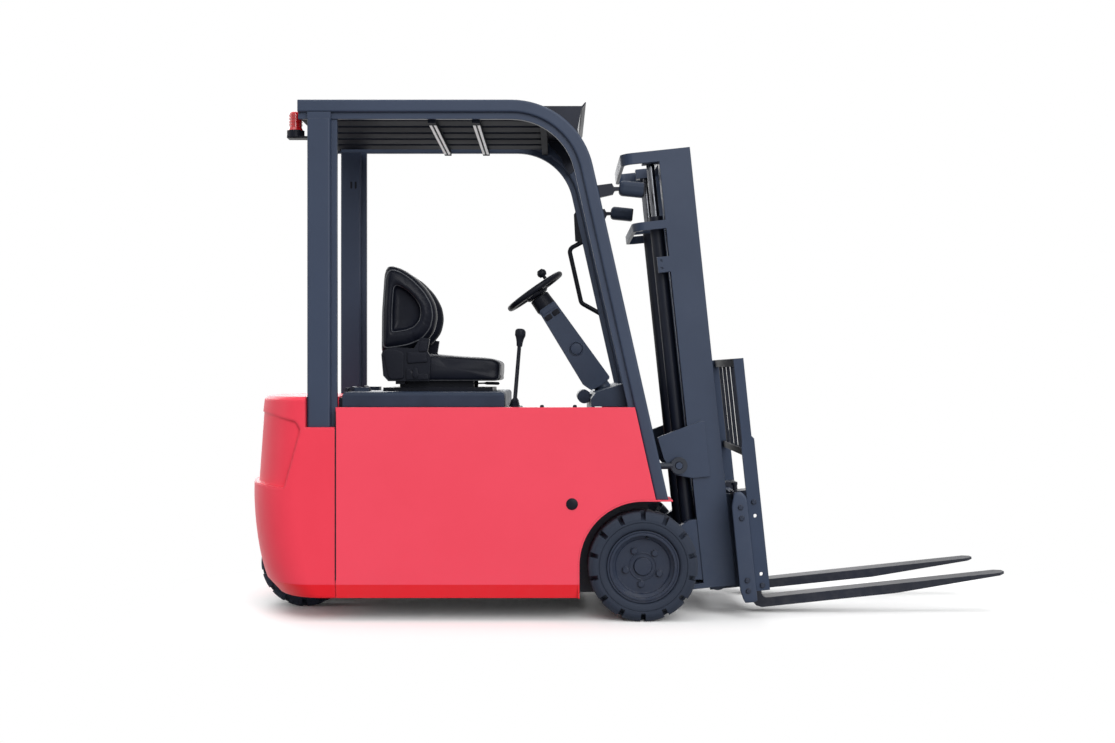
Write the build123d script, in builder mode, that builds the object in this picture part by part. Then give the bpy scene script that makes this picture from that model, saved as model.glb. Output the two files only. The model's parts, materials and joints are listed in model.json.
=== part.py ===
from build123d import *
import os
from math import atan2, cos, degrees, hypot, radians, sin, tan

# A three-wheel electric counterbalance forklift, in millimetres.
# x runs forward from the front axle, y to the left, z up from the floor. Every piece is modelled in that
# frame, or in a frame of its own where it leans (mast, steering, tilt cylinders), and is moved when saved.

# Wheels
wheel_base = 1476.0
overall_width = 1070.0
front_tyre_radius = 229.0
front_tyre_width = 180.0
front_rim_radius = 150.0
rear_tyre_radius = 195.0
rear_tyre_width = 110.0
rear_tyre_pitch = 170.0
rear_rim_radius = 112.0
rim_wall = 12.0
lug_count = 14
lug_slot = 21.0
lug_drop = 36.0
lug_depth = 14.0
lug_reach_share = 0.4
front_shoulder = (18.0, 22.0)
rear_shoulder = (14.0, 16.0)
wheel_stub_radius = 45.0
axle_tube_radius = 60.0
axle_casing_radius = 105.0
axle_casing_half = 170.0

# Body
tyre_proud = 10.0
body_bottom = 97.0
panel_thickness = 30.0
panel_top = 892.0
panel_split = -1280.0
lower_band = 58.0
lower_band_inset = 18.0
deck_top = 955.0
floor_top = 560.0
floor_sheet = 15.0
step_height = 262.0
step_sheet = 12.0
entry_rear = -560.0
entry_front = -140.0
arch_radius = 265.0
arch_centre_height = 235.0
fender_sheet = 6.0
fender_front = 123.0
axle_plate_gap = 8.0
axle_plate_thickness = 15.0
axle_plate_front = 70.0
bulkhead_thickness = 14.0
rear_bulkhead = -1200.0
mid_bulkhead = -575.0
front_bulkhead = -200.0
floor_pan_thickness = 15.0
battery_top = 760.0
battery_gap = 65.0
hood_side_gap = 17.0
hood_skin = 20.0
hinge_pin_radius = 5.0
hinge_barrel_radius = 9.0
hinge_spread = 190.0

# Counterweight
rear_overhang = 217.0
counterweight_top = 936.0
corner_length = 250.0
rear_flat = 150.0
ledge_height = 556.0
ledge_rise = 16.0
pocket_depth = 20.0
pocket_fade = 12.0
well_radius = 258.0
well_top = 440.0
post_notch_floor = 809.0
lifting_hole_radius = 26.0
lifting_hole_depth = 70.0
lifting_hole_place = -1588.0

# Overhead guard
roof_top = 2177.0
roof_rear = -1442.0
guard_inset = 25.0
rail_width = 60.0
rail_depth = 52.0
rail_lip_width = 25.0
rail_lip_depth = 26.0
roof_bend = 350.0
pillar_lean = 12.73
pillar_foot = 107.0
post_inset = 20.0
post_rear = -1401.0
post_depth = 98.0
post_width = 80.0
post_lip = 23.0
roof_slat_count = 5
roof_slat_gap = 40.0
roof_slat_margin = 47.5
roof_slat_thickness = 26.0
roof_front_member = -430.0
roof_middle_members = (-885.0, -700.0)
visor_rear = -470.0
visor_front = -254.0
visor_sheet = 8.0
lamp_drop = 367.0
lamp_width = 66.0
lamp_length = 102.0
beacon_drop = 111.0
beacon_reach = 71.0
beacon_ribs = 4
handle_radius = 11.0
handle_stand_off = 72.0
handle_drop = 542.0
handle_length = 262.0

# Operator's place
seat_half_width = 240.0
seat_place = -1050.0
seat_rise = 48.0
seat_bracket_width = 28.0
wheel_centre = (-458.0, 1403.5)
wheel_lean = 35.2
steering_ring_radius = 134.0
steering_grip_radius = 13.5
steering_hub_drop = 28.0
knob_angle = 56.0
column_top_drop = 86.0
column_foot_drop = 520.0
column_half_width = 58.0
lever_count = 3
lever_pitch = 55.0
lever_length = 280.0
console_half_width = 100.0

# Mast, upright, measured from the tilt pivot at the front axle
mast_lean = 6.0
mast_gap = 25.0
channel_rear = 259.0
channel_depth = 137.0
channel_web = 12.0
channel_flange = 60.0
flange_thickness = 20.0
mast_bottom = -146.0
mast_top = 1744.0
nest_gap = 3.0
inner_flange = 62.0
cylinder_place = 226.0
barrel_radius = 30.0
barrel_top = 1470.0
rod_radius = 18.0
chain_width = 20.0
chain_thickness = 12.0
chain_anchor_height = 130.0
sheave_radius = 39.0
sheave_drop = 54.0
sheave_place = 340.0
top_tie_height = 48.0
top_tie_reach = 96.0
mid_tie_bottom = 1408.0
mid_tie_height = 36.0
mid_tie_reach = 116.0
tie_sheet = 14.0
tie_bend = 50.0
foot_thickness = 22.0
clamp_bottom = 1220.0
clamp_top = 1288.0

# Carriage and forks
carriage_face = 467.0
carriage_half_width = 450.0
carriage_bar_depth = 24.0
carriage_bar_height = 95.0
carriage_bars_over = 407.0
carriage_bars_top = 228.0
carriage_plate = 20.0
carriage_plate_gap = 17.0
fork_thickness = 40.0
fork_width = 100.0
fork_spread = 243.0
fork_length = 1058.0
fork_blade_top = -219.0
fork_tip_thickness = 10.0
fork_taper = 480.0
fork_heel_radius = 20.0
hook_lip = 14.0
backrest_top = 820.0
backrest_low = 400.0
backrest_front = 524.0
backrest_sheet = 14.0
backrest_bars = 5
backrest_hole_radius = 8.0
backrest_holes = (-140.0, -92.0, 154.0, 213.0)

# Tilt cylinders
tilt_pin = (204.0, 391.0)
tilt_anchor = (-150.0, 632.0)
tilt_plate_thickness = 14.0
tilt_pin_radius = 15.0
tilt_anchor_radius = 14.0
tilt_barrel_radius = 28.0
tilt_barrel_end = 205.0
tilt_rod_radius = 14.0
tilt_eye_radius = 36.0
tilt_eye_width = 24.0
tilt_eye_play = 2.0

# Steer unit
kingpin_radius = 40.0
steer_bearing_radius = 98.0
rear_axle_radius = 25.0
knuckle_thickness = 40.0

# Clearances
running_clearance = 0.3
bearing_clearance = 0.075
seat_gap = 0.3
panel_gap = 2.0

# Worked-out places
half_body = overall_width / 2 - tyre_proud
panel_inner = half_body - panel_thickness
axle_height = front_tyre_radius
fender_top = arch_centre_height + arch_radius + fender_sheet
tyre_outer = overall_width / 2
tyre_inner = tyre_outer - front_tyre_width
rear_outer = (rear_tyre_pitch + rear_tyre_width) / 2
rear_inner = (rear_tyre_pitch - rear_tyre_width) / 2
axle_plate_outer = tyre_inner - axle_plate_gap
axle_plate_inner = axle_plate_outer - axle_plate_thickness
guard_outer = half_body - guard_inset
rail_middle = guard_outer - rail_width / 2
rail_inner = guard_outer - rail_width
lip_inner = rail_middle - rail_lip_width / 2
roof_slat_room = 2 * (rail_inner - roof_slat_margin) + roof_slat_gap
roof_slat_pitch = roof_slat_room / roof_slat_count
roof_slat_width = roof_slat_pitch - roof_slat_gap
lamp_height = roof_top - lamp_drop
beacon_base_top = roof_top - beacon_drop
handle_top = roof_top - handle_drop
handle_bottom = handle_top - handle_length
post_outer = half_body - post_inset
post_inner = post_outer - post_width
rear_end = -(wheel_base + rear_overhang)
corner_width = half_body - rear_flat / 2
hood_bottom = panel_top + 1.0
bulkhead_top = hood_bottom - seat_gap
pan_front = -(arch_radius + fender_sheet)
hinge_place = (panel_split + 30, deck_top + 12)
cushion_bottom = deck_top + seat_rise
mast_half_width = tyre_inner - mast_gap
channel_front = channel_rear + channel_depth
web_inner = mast_half_width - channel_web
flange_inner = mast_half_width - channel_flange
roller_gap = channel_depth - 2 * flange_thickness
roller_radius = roller_gap / 2 - 0.5
roller_place = (channel_rear + channel_front) / 2
inner_outer = flange_inner - nest_gap
inner_edge = inner_outer - inner_flange
inner_rear = channel_rear + nest_gap
inner_front = channel_front - nest_gap
inner_top_tie = mast_top - 44
cylinder_spread = (inner_edge + inner_outer) / 2
barrel_bottom = mast_bottom + foot_thickness
chain_spread = inner_edge / 2
sheave_height = mast_top - sheave_drop
chain_front = sheave_place + sheave_radius + chain_thickness
chain_rear = sheave_place - sheave_radius
chain_anchor = mid_tie_bottom + mid_tie_height + 16
tilt_plate_outer = mast_half_width + tilt_plate_thickness
tilt_spread = tilt_plate_outer + tilt_eye_width / 2 + 3
carriage_back = carriage_face - carriage_bar_depth
plate_edge = inner_edge - carriage_plate_gap
lower_bar = carriage_bars_top - carriage_bars_over
fork_face = carriage_face + seat_gap + fork_thickness
fork_tip = fork_face + fork_length

# Where each frame stands in the finished truck, whose middle is at the origin
lean = radians(mast_lean)
front_reach = fork_tip * cos(lean) - (fork_blade_top - fork_tip_thickness) * sin(lean)
axle_x = -(rear_end + front_reach) / 2
truck_place = Location((axle_x, 0, 0))
mast_place = Location((axle_x, 0, axle_height), (0, -mast_lean, 0))
steering_place = Location((axle_x + wheel_centre[0], 0, wheel_centre[1]), (0, -wheel_lean, 0))
pin_x = tilt_pin[0] * cos(lean) - tilt_pin[1] * sin(lean)
pin_z = axle_height + tilt_pin[0] * sin(lean) + tilt_pin[1] * cos(lean)
tilt_length = hypot(pin_x - tilt_anchor[0], pin_z - tilt_anchor[1])
tilt_angle = degrees(atan2(pin_z - tilt_anchor[1], pin_x - tilt_anchor[0]))
tilt_place = Location((axle_x + tilt_anchor[0], 0, tilt_anchor[1]), (0, -tilt_angle, 0))


def side(y, x=0.0, z=0.0):
    """Side-view plane at y, facing the right-hand side: local x is forward, local y is up."""
    return Plane((x, y, z), x_dir=(1, 0, 0), z_dir=(0, -1, 0))


def front(x):
    """Front-view plane at x, facing forward: local x is to the left, local y is up."""
    return Plane((x, 0, 0), x_dir=(0, 1, 0), z_dir=(1, 0, 0))


def wheel_plane(x, z):
    """Plane for a wheel's half profile: local x is across the truck, local y is out from the axle."""
    return Plane((x, 0, z), x_dir=(0, 1, 0), z_dir=(1, 0, 0))


def block(x, y, z, mode=Mode.ADD):
    """Plain block between pairs of places along x, y and z."""
    middle = tuple((ends[0] + ends[1]) / 2 for ends in (x, y, z))
    with Locations(middle):
        Box(x[1] - x[0], y[1] - y[0], z[1] - z[0], mode=mode)


def rod_along_y(x, y, z, radius, mode=Mode.ADD):
    """Round bar along y between a pair of places."""
    with Locations((x, (y[0] + y[1]) / 2, z)):
        Cylinder(radius, y[1] - y[0], rotation=(90, 0, 0), mode=mode)


def outline_face(*points):
    """Face inside a closed outline of straight lines."""
    with BuildLine() as outline:
        Polyline(*points, close=True)
    make_face(outline.edges())


def pillar_front(z):
    """Front edge of the leaning front pillar at height z."""
    return pillar_foot - (z - fender_top) * tan(radians(pillar_lean))


def pillar_rear(z):
    """Rear edge of the front pillar's main tube at height z."""
    return pillar_front(z) - rail_depth / cos(radians(pillar_lean))


def lip_edge(z):
    """Rear edge of the front pillar's lip at height z."""
    return pillar_front(z) - (rail_depth + rail_lip_depth) / cos(radians(pillar_lean))


def save(builder, name, place=truck_place):
    """Move a finished piece to its place in the truck, name it and write it."""
    piece = builder.part.moved(place)
    piece.label = name
    export_step(piece, f"parts/{name}.step")


os.makedirs("parts", exist_ok=True)

# Chassis frame: floor pan, three bulkheads, the step and the two plates that carry the drive axle
with BuildPart() as chassis_frame:
    block((rear_bulkhead - bulkhead_thickness, pan_front), (-panel_inner, panel_inner),
          (body_bottom, body_bottom + floor_pan_thickness))
    for face in (rear_bulkhead, mid_bulkhead):
        block((face - bulkhead_thickness, face), (-panel_inner, panel_inner), (body_bottom, bulkhead_top))
    block((front_bulkhead - bulkhead_thickness, front_bulkhead), (-axle_plate_outer, axle_plate_outer),
          (body_bottom, fender_top + 1))
    block((front_bulkhead - bulkhead_thickness, front_bulkhead), (-panel_inner, panel_inner),
          (fender_top + seat_gap, bulkhead_top))
    for y in (-axle_plate_inner, axle_plate_outer):
        with BuildSketch(side(y)) as axle_plate:
            outline_face((pan_front, body_bottom), (axle_plate_front - 30, body_bottom),
                         (axle_plate_front, body_bottom + 53), (axle_plate_front, axle_height + 101),
                         (axle_plate_front - 50, fender_top - fender_sheet),
                         (pan_front, fender_top - fender_sheet))
            with Locations((0, axle_height)):
                Circle(axle_tube_radius + running_clearance, mode=Mode.SUBTRACT)
        extrude(amount=axle_plate_thickness)
    block((mid_bulkhead, pan_front), (axle_plate_inner, panel_inner),
          (step_height - step_sheet, step_height))
save(chassis_frame, "chassis_frame")

# Rear cross beam against the counterweight, with the pins the hood hinges on
with BuildPart() as rear_beam:
    block((panel_split, panel_split + 16), (5 - post_inner, post_inner - 5), (700, counterweight_top - 6))
    for y in (-hinge_spread, hinge_spread):
        block((panel_split, panel_split + 12), (y - 60, y + 60),
              (counterweight_top - 11, hinge_place[1] + 4))
        for end in (y - 60, y + 40):
            block((panel_split, hinge_place[0]), (end, end + 20),
                  (hinge_place[1] - 4, hinge_place[1] + 4))
            rod_along_y(hinge_place[0], (end, end + 20), hinge_place[1], hinge_barrel_radius)
        rod_along_y(hinge_place[0], (y - 60, y + 60), hinge_place[1], hinge_pin_radius)
save(rear_beam, "rear_beam")


def panel_outline():
    """Outline of a side panel from the counterweight's split to the front pillar, with the wheel arch."""
    arch = arch_radius + fender_sheet + seat_gap
    with BuildLine() as outline:
        Polyline((0, arch_centre_height + arch), (pillar_rear(fender_top) - 1, fender_top + seat_gap),
                 (pillar_rear(panel_top) - 1, panel_top), (panel_split + panel_gap, panel_top),
                 (panel_split + panel_gap, body_bottom), (-arch, body_bottom),
                 (-arch, arch_centre_height))
        CenterArc((0, arch_centre_height), arch, 90, 90)
    make_face(outline.edges())


def lower_band_cut(y):
    """Cut that slopes a panel's lower outer edge inward."""
    out = 1 if y > 0 else -1
    with BuildSketch(front(panel_split - 10)) as wedge:
        outline_face((y + out, body_bottom + lower_band), (y, body_bottom + lower_band),
                     (y - out * lower_band_inset, body_bottom),
                     (y - out * lower_band_inset, body_bottom - 1),
                     (y + out, body_bottom - 1))
    extrude(wedge.sketch, amount=-panel_split, mode=Mode.SUBTRACT)


# Side panels: the right one is plain, the left one has the entry cut and the step window
with BuildPart() as side_panel_right:
    with BuildSketch(side(-panel_inner)):
        panel_outline()
    extrude(amount=panel_thickness)
    lower_band_cut(-half_body)
save(side_panel_right, "side_panel_right")

with BuildPart() as side_panel_left:
    with BuildSketch(side(half_body)):
        panel_outline()
        entry_width = entry_front - entry_rear
        with Locations((entry_rear + entry_width / 2, floor_top + 200)):
            RectangleRounded(entry_width, 400, 30, mode=Mode.SUBTRACT)
        with Locations((entry_rear + entry_width / 2, panel_top)):
            Rectangle(entry_width, 200, mode=Mode.SUBTRACT)
        with Locations((entry_rear + 137, step_height + 74)):
            RectangleRounded(245, 148, 20, mode=Mode.SUBTRACT)
    extrude(amount=panel_thickness)
    lower_band_cut(half_body)
save(side_panel_left, "side_panel_left")

# Fenders: one bent sheet over each drive wheel, flat on top where the front pillar stands
with BuildPart() as fenders:
    fender_outside = arch_radius + fender_sheet
    with BuildSketch(side(-axle_plate_outer)):
        with BuildLine():
            Line((-fender_outside, body_bottom), (-fender_outside, arch_centre_height))
            CenterArc((0, arch_centre_height), fender_outside, 180, -90)
            Polyline((0, fender_top), (fender_front, fender_top),
                     (fender_front, fender_top - fender_sheet),
                     (0, fender_top - fender_sheet))
            CenterArc((0, arch_centre_height), arch_radius, 90, 90)
            Polyline((-arch_radius, arch_centre_height), (-arch_radius, body_bottom),
                     (-fender_outside, body_bottom))
        make_face()
    extrude(amount=half_body - axle_plate_outer)
    mirror(about=Plane.XZ)
save(fenders, "fenders")


def plan_section(z, back, narrow, inset):
    """Counterweight's plan outline at height z: square at the split, quarter ellipses at the rear."""
    rear = rear_end + back + inset
    half = half_body - narrow - inset
    long = corner_length - inset
    wide = corner_width - inset
    with BuildSketch(Plane.XY.offset(z)) as section:
        with BuildLine():
            Polyline((rear + long, half), (panel_split, half), (panel_split, -half), (rear + long, -half))
            EllipticalCenterArc((rear + long, wide - half), long, wide, start_angle=180, arc_size=90)
            Line((rear, wide - half), (rear, half - wide))
            EllipticalCenterArc((rear + long, half - wide), long, wide, start_angle=90, arc_size=90)
        make_face()
    return section.sketch


def stack(*levels, inset=0.0, ruled=True):
    """Form through plan sections; each level gives the height, the rear face's set-back and the side's."""
    loft([plan_section(z, back, narrow, inset) for z, back, narrow in levels], ruled=ruled)


# Counterweight: plan sections stacked up its height, with a shallow pocket sunk round its upper corners
with BuildPart() as pocket_floor:
    stack((ledge_height - 10, 0, 0), (counterweight_top - 36, 28, -pocket_fade), inset=pocket_depth)

with BuildPart() as pocket:
    pocket_rear = rear_end - 20
    with BuildSketch(side(half_body + 5)):
        with BuildLine():
            FilletPolyline((pocket_rear, ledge_height + ledge_rise), (-1495, ledge_height), (-1426, 800),
                           (-1445, 832),
                           (-1560, 860), (pocket_rear, 878), radius=10)
            Line((pocket_rear, 878), (pocket_rear, ledge_height + ledge_rise))
        make_face()
    extrude(amount=2 * half_body + 10)
    add(pocket_floor.part, mode=Mode.SUBTRACT)

with BuildPart() as counterweight:
    band_top = body_bottom + lower_band
    stack((body_bottom, 105, lower_band_inset), (band_top, 56, 0))
    stack((band_top, 56, 0), (230, 33, 0), (310, 17, 0), (420, 4, 0), (ledge_height, 0, 0), ruled=False)
    stack((ledge_height, 0, 0), (counterweight_top - 14, 45, 0), (counterweight_top, 58, 10))
    add(pocket.part, mode=Mode.SUBTRACT)
    with Locations((-wheel_base, 0, body_bottom - 10)):
        Cylinder(well_radius, well_top - body_bottom + 10, align=(Align.CENTER, Align.CENTER, Align.MIN),
                 mode=Mode.SUBTRACT)
    notch_width = half_body - post_inner + 8
    for y in (-half_body - 5, post_inner - 3):
        block((post_rear - 3, panel_split + 5), (y, y + notch_width),
              (post_notch_floor, counterweight_top + 10),
              mode=Mode.SUBTRACT)
    with Locations((lifting_hole_place, 0, counterweight_top)):
        Hole(lifting_hole_radius, depth=lifting_hole_depth)
save(counterweight, "counterweight")

# Battery: the heavy mass in the closed body, one plain block
with BuildPart() as battery:
    block((rear_bulkhead + 5, mid_bulkhead - bulkhead_thickness - 8),
          (battery_gap - panel_inner, panel_inner - battery_gap),
          (body_bottom + floor_pan_thickness, battery_top))
save(battery, "battery")

# Floor plate with its mat
with BuildPart() as floor_plate:
    block((mid_bulkhead, front_bulkhead - bulkhead_thickness), (-panel_inner, panel_inner),
          (floor_top - floor_sheet, floor_top))
save(floor_plate, "floor_plate")

# Guard rails: roof rail, bend and front pillar in one run, with the lip along the inside of the bend
with BuildPart() as guard_rails:
    with BuildLine(side(-rail_middle)) as rail_run:
        FilletPolyline((roof_rear, roof_top), (pillar_front(roof_top), roof_top),
                       (pillar_foot, fender_top),
                       radius=roof_bend)
    with BuildSketch(Plane((roof_rear, -rail_middle, roof_top), x_dir=(0, 1, 0), z_dir=(1, 0, 0))):
        with Locations((0, -rail_depth / 2)):
            RectangleRounded(rail_width, rail_depth, 8)
        with Locations((0, -rail_depth - rail_lip_depth / 2)):
            Rectangle(rail_lip_width, rail_lip_depth + 2)
    sweep()
    block((-300, 300), (-guard_outer - 10, 0), (fender_top - 200, fender_top), mode=Mode.SUBTRACT)
    mirror(about=Plane.XZ)
save(guard_rails, "guard_rails")

# Rear posts, standing in the counterweight's notches, each with a front lip and a head under the rail
post_middle = (post_inner + post_outer) / 2
post_top = roof_top - rail_depth - rail_lip_depth - 2
with BuildPart() as guard_posts:
    with BuildSketch(Plane.XY.offset(post_notch_floor)):
        with Locations((post_rear + post_depth / 2, -post_middle)):
            RectangleRounded(post_depth, post_width, 10)
        with Locations((post_rear + post_depth + post_lip / 2 - 6, -post_middle)):
            Rectangle(post_lip + 12, rail_lip_width)
    extrude(amount=post_top - post_notch_floor)
    block((post_rear, post_rear + post_depth), (-guard_outer, -guard_outer + 16),
          (post_top - 2, roof_top - rail_depth))
    mirror(about=Plane.XZ)
save(guard_posts, "guard_posts")

# Roof cross-members: the rear and front ones close the frame, the two middle ones carry the slats
slat_bottom = roof_top - rail_depth - 20
slat_top = slat_bottom + roof_slat_thickness
slat_rear = roof_rear + 40
with BuildPart() as roof_cross_members:
    block((roof_rear + 2, slat_rear), (-rail_inner, rail_inner), (slat_bottom, roof_top - 12))
    block((roof_front_member, roof_front_member + 28), (-rail_inner, rail_inner),
          (slat_bottom - 20, slat_top + 4))
    for x in roof_middle_members:
        block((x - 16, x + 16), (-lip_inner, lip_inner), (slat_bottom - 20, slat_bottom))
save(roof_cross_members, "roof_cross_members")

# Roof slats
with BuildPart() as roof_slats:
    with BuildSketch(front(slat_rear)):
        with Locations((0, (slat_bottom + slat_top) / 2)):
            with GridLocations(roof_slat_pitch, 0, roof_slat_count, 1):
                RectangleRounded(roof_slat_width, roof_slat_thickness, 6)
    extrude(amount=roof_front_member - slat_rear)
save(roof_slats, "roof_slats")

# Roof visor: top plate with an upturned lip and two side gussets; the pale pane stands in its front
visor_top = roof_top - 17
with BuildPart() as roof_visor:
    with BuildSketch(side(visor_sheet - rail_inner)):
        outline_face((visor_rear, visor_top), (visor_front, visor_top),
                     (visor_front - 18, visor_top - 100),
                     (visor_front - 8, visor_top - 140), (visor_front - 46, visor_top - 170),
                     (visor_front - 86, visor_top - 90), (visor_front - 146, visor_top - 19),
                     (visor_rear, visor_top - 19))
    extrude(amount=visor_sheet)
    mirror(about=Plane.XZ)
    with BuildSketch(side(rail_inner)):
        outline_face((visor_rear, visor_top), (visor_front, visor_top), (visor_front + 15, roof_top),
                     (visor_front + 18, roof_top - 3), (visor_front + 2, visor_top - visor_sheet),
                     (visor_rear, visor_top - visor_sheet))
    extrude(amount=2 * rail_inner)
save(roof_visor, "roof_visor")

with BuildPart() as visor_pane:
    pane_half = rail_inner - visor_sheet
    pane_top = visor_top - visor_sheet
    with BuildSketch(side(pane_half)):
        outline_face((visor_front - 3, pane_top), (visor_front - 19, pane_top - 90),
                     (visor_front - 27, pane_top - 90),
                     (visor_front - 11, pane_top))
    extrude(amount=2 * pane_half)
save(visor_pane, "visor_pane")

# Head lamps on the front pillars: a rounded housing, domed at the rear
bracket_foot = lamp_height - 40
bracket_x = pillar_front(bracket_foot)
with BuildPart() as head_lamps:
    with BuildSketch(Plane((bracket_x + 80, -rail_middle, lamp_height), x_dir=(0, 1, 0),
                           z_dir=(0.995, 0, -0.1))):
        RectangleRounded(lamp_width, lamp_width - 4, 22)
    extrude(amount=lamp_length)
    fillet(head_lamps.faces().sort_by(Axis.X)[0].edges(), 18)
    mirror(about=Plane.XZ)
save(head_lamps, "head_lamps")

with BuildPart() as lamp_brackets:
    with BuildSketch(side(lamp_width / 4 - rail_middle)):
        outline_face((bracket_x, bracket_foot), (bracket_x + 55, bracket_foot + 13),
                     (bracket_x + 62, bracket_foot + 28),
                     (bracket_x + 86, bracket_foot + 31), (bracket_x + 86, bracket_foot + 43),
                     (bracket_x + 58, bracket_foot + 43), (bracket_x + 50, bracket_foot + 58),
                     (pillar_front(bracket_foot + 50), bracket_foot + 50))
    extrude(amount=lamp_width / 2)
    add(head_lamps.part, mode=Mode.SUBTRACT)
    mirror(about=Plane.XZ)
save(lamp_brackets, "lamp_brackets")

# Beacon on a plate behind the right rear post, its lens ringed with ribs
beacon_x = post_rear - beacon_reach
beacon_y = -(post_inner - 55)
with BuildPart() as beacon_base:
    block((beacon_x - 32, post_rear), (beacon_y - 30, beacon_y + 30),
          (beacon_base_top - 34, beacon_base_top - 26))
    block((post_rear - 6, post_rear), (-post_inner - 10, beacon_y + 30),
          (beacon_base_top - 90, beacon_base_top - 26))
    with Locations((beacon_x, beacon_y, beacon_base_top)):
        Cylinder(37, 30, align=(Align.CENTER, Align.CENTER, Align.MAX))
save(beacon_base, "beacon_base")

with BuildPart() as beacon_lens:
    with Locations((beacon_x, beacon_y, beacon_base_top)):
        Cone(32, 26, 14, align=(Align.CENTER, Align.CENTER, Align.MIN))
        Cylinder(26, 80, align=(Align.CENTER, Align.CENTER, Align.MIN))
    fillet(beacon_lens.edges().sort_by(Axis.Z)[-1], 8)
    for rib in range(beacon_ribs):
        with Locations((beacon_x, beacon_y, beacon_base_top + 22 + 13 * rib)):
            Cylinder(28.5, 5, align=(Align.CENTER, Align.CENTER, Align.MIN))
save(beacon_lens, "beacon_lens")

# Grab handle on the left front pillar: a bent bar under its mounting block
with BuildPart() as grab_handle:
    with BuildLine(side(rail_middle)) as handle_run:
        FilletPolyline((lip_edge(handle_top + 40) + 12, handle_top + 40),
                       (lip_edge(handle_top) - handle_stand_off, handle_top),
                       (lip_edge(handle_bottom) - handle_stand_off, handle_bottom),
                       (lip_edge(handle_bottom - 48) + 12, handle_bottom - 53), radius=28)
    with BuildSketch(Plane(handle_run.line @ 0, x_dir=(0, 1, 0), z_dir=handle_run.line % 0)):
        Circle(handle_radius)
    sweep()
    with BuildSketch(side(rail_middle + rail_lip_width / 2)):
        outline_face((lip_edge(handle_top + 28) + 4, handle_top + 28),
                     (lip_edge(handle_top + 38) - 34, handle_top + 38),
                     (lip_edge(handle_top + 165) - 12, handle_top + 165),
                     (lip_edge(handle_top + 185) + 4, handle_top + 185))
    extrude(amount=rail_lip_width)
    add(guard_rails.part, mode=Mode.SUBTRACT)
save(grab_handle, "grab_handle")

# Dash cowl between the front pillars, with a roll along its rear under the column
cowl_rear = front_bulkhead - bulkhead_thickness
cowl_half = rail_inner - 10
with BuildPart() as dash_cowl:
    with BuildSketch(side(cowl_half, cowl_rear, hood_bottom)):
        with BuildLine():
            Polyline((169, 0), (0, 0), (0, 32), (19, 59), (64, 75), (122, 93))
            ThreePointArc((122, 93), (154, 88), (169, 62))
            Line((169, 62), (169, 0))
        make_face()
    extrude(amount=2 * cowl_half)
    rod_along_y(cowl_rear - 24, (-150, 150), hood_bottom + 37, 30)
save(dash_cowl, "dash_cowl")

# Steering column, modelled upright about the wheel's axis: switch head, tapered shell and neck
with BuildPart() as steering_column:
    with BuildSketch(side(column_half_width)):
        outline_face((-39, -column_top_drop), (46, -column_top_drop), (52, 6 - column_foot_drop),
                     (3, -column_foot_drop),
                     (-51, 9 - column_foot_drop), (-66, 50 - column_foot_drop))
    extrude(amount=2 * column_half_width)
    fillet(steering_column.edges().filter_by(Axis.Y), 12)
    with Locations((0, 0, 20 - column_foot_drop)):
        Cylinder(36, 110, align=(Align.CENTER, Align.CENTER, Align.MAX))
    with Locations((0, 0, -steering_hub_drop - 16)):
        Cylinder(44, column_top_drop - steering_hub_drop, align=(Align.CENTER, Align.CENTER, Align.MAX))
    with Locations((0, 0, -steering_hub_drop - seat_gap)):
        Cylinder(14, 40, align=(Align.CENTER, Align.CENTER, Align.MAX))
    add(dash_cowl.part.moved(truck_place).moved(steering_place.inverse()), mode=Mode.SUBTRACT)
save(steering_column, "steering_column", steering_place)

# Steering wheel, flat about its own axis, with the knob for one-handed steering
with BuildPart() as steering_wheel:
    with BuildSketch(Plane.XZ):
        with Locations((steering_ring_radius, 0)):
            Circle(steering_grip_radius)
    revolve(axis=Axis.Z)
    with Locations((0, 0, -steering_hub_drop)):
        Cylinder(36, 40, align=(Align.CENTER, Align.CENTER, Align.MIN))
    with BuildSketch(Plane.XY.offset(-9)):
        with PolarLocations(steering_ring_radius / 2, 3, start_angle=180):
            Rectangle(steering_ring_radius - 10, 30)
    extrude(amount=9)
    for level, bottom_radius, top_radius, height in ((0, 9, 8, 42), (40, 16, 22, 12), (52, 22, 21.5, 10),
                                                     (62, 21.5, 12, 12)):
        with Locations(Plane.XY.offset(level)):
            with PolarLocations(steering_ring_radius, 1, start_angle=knob_angle):
                Cone(bottom_radius, top_radius, height, align=(Align.CENTER, Align.CENTER, Align.MIN))
save(steering_wheel, "steering_wheel", steering_place)

# Levers on their console, and the pedals
console_y = -(panel_inner - 150)
with BuildPart() as lever_console:
    with BuildSketch(side(console_y + console_half_width, mid_bulkhead)):
        outline_face((1, floor_top), (75, floor_top), (77, hood_bottom - 13), (63, hood_bottom),
                     (6, hood_bottom),
                     (1, hood_bottom - 13))
    extrude(amount=2 * console_half_width)
save(lever_console, "lever_console")

with BuildPart() as control_levers:
    lever_plane = Plane((mid_bulkhead + 34, console_y, hood_bottom), x_dir=(1, 0, 0),
                        z_dir=(0.082, 0, 0.997))
    for level, radius, length, narrowing in ((0, 20, 30, 24), (0, 7, lever_length, 0),
                                             (lever_length, 20, 50, 0)):
        with BuildSketch(lever_plane.offset(level)):
            with GridLocations(0, lever_pitch, 1, lever_count):
                Circle(radius)
        extrude(amount=length, taper=narrowing)
    knob_top = hood_bottom + lever_length - 10
    fillet(control_levers.edges().filter_by(GeomType.CIRCLE).filter_by(lambda e: e.center().Z > knob_top),
           6)
    block((mid_bulkhead - 25, mid_bulkhead + 95), (console_y - 120, console_y + 120),
          (hood_bottom - 30, hood_bottom),
          mode=Mode.SUBTRACT)
save(control_levers, "control_levers")

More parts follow.
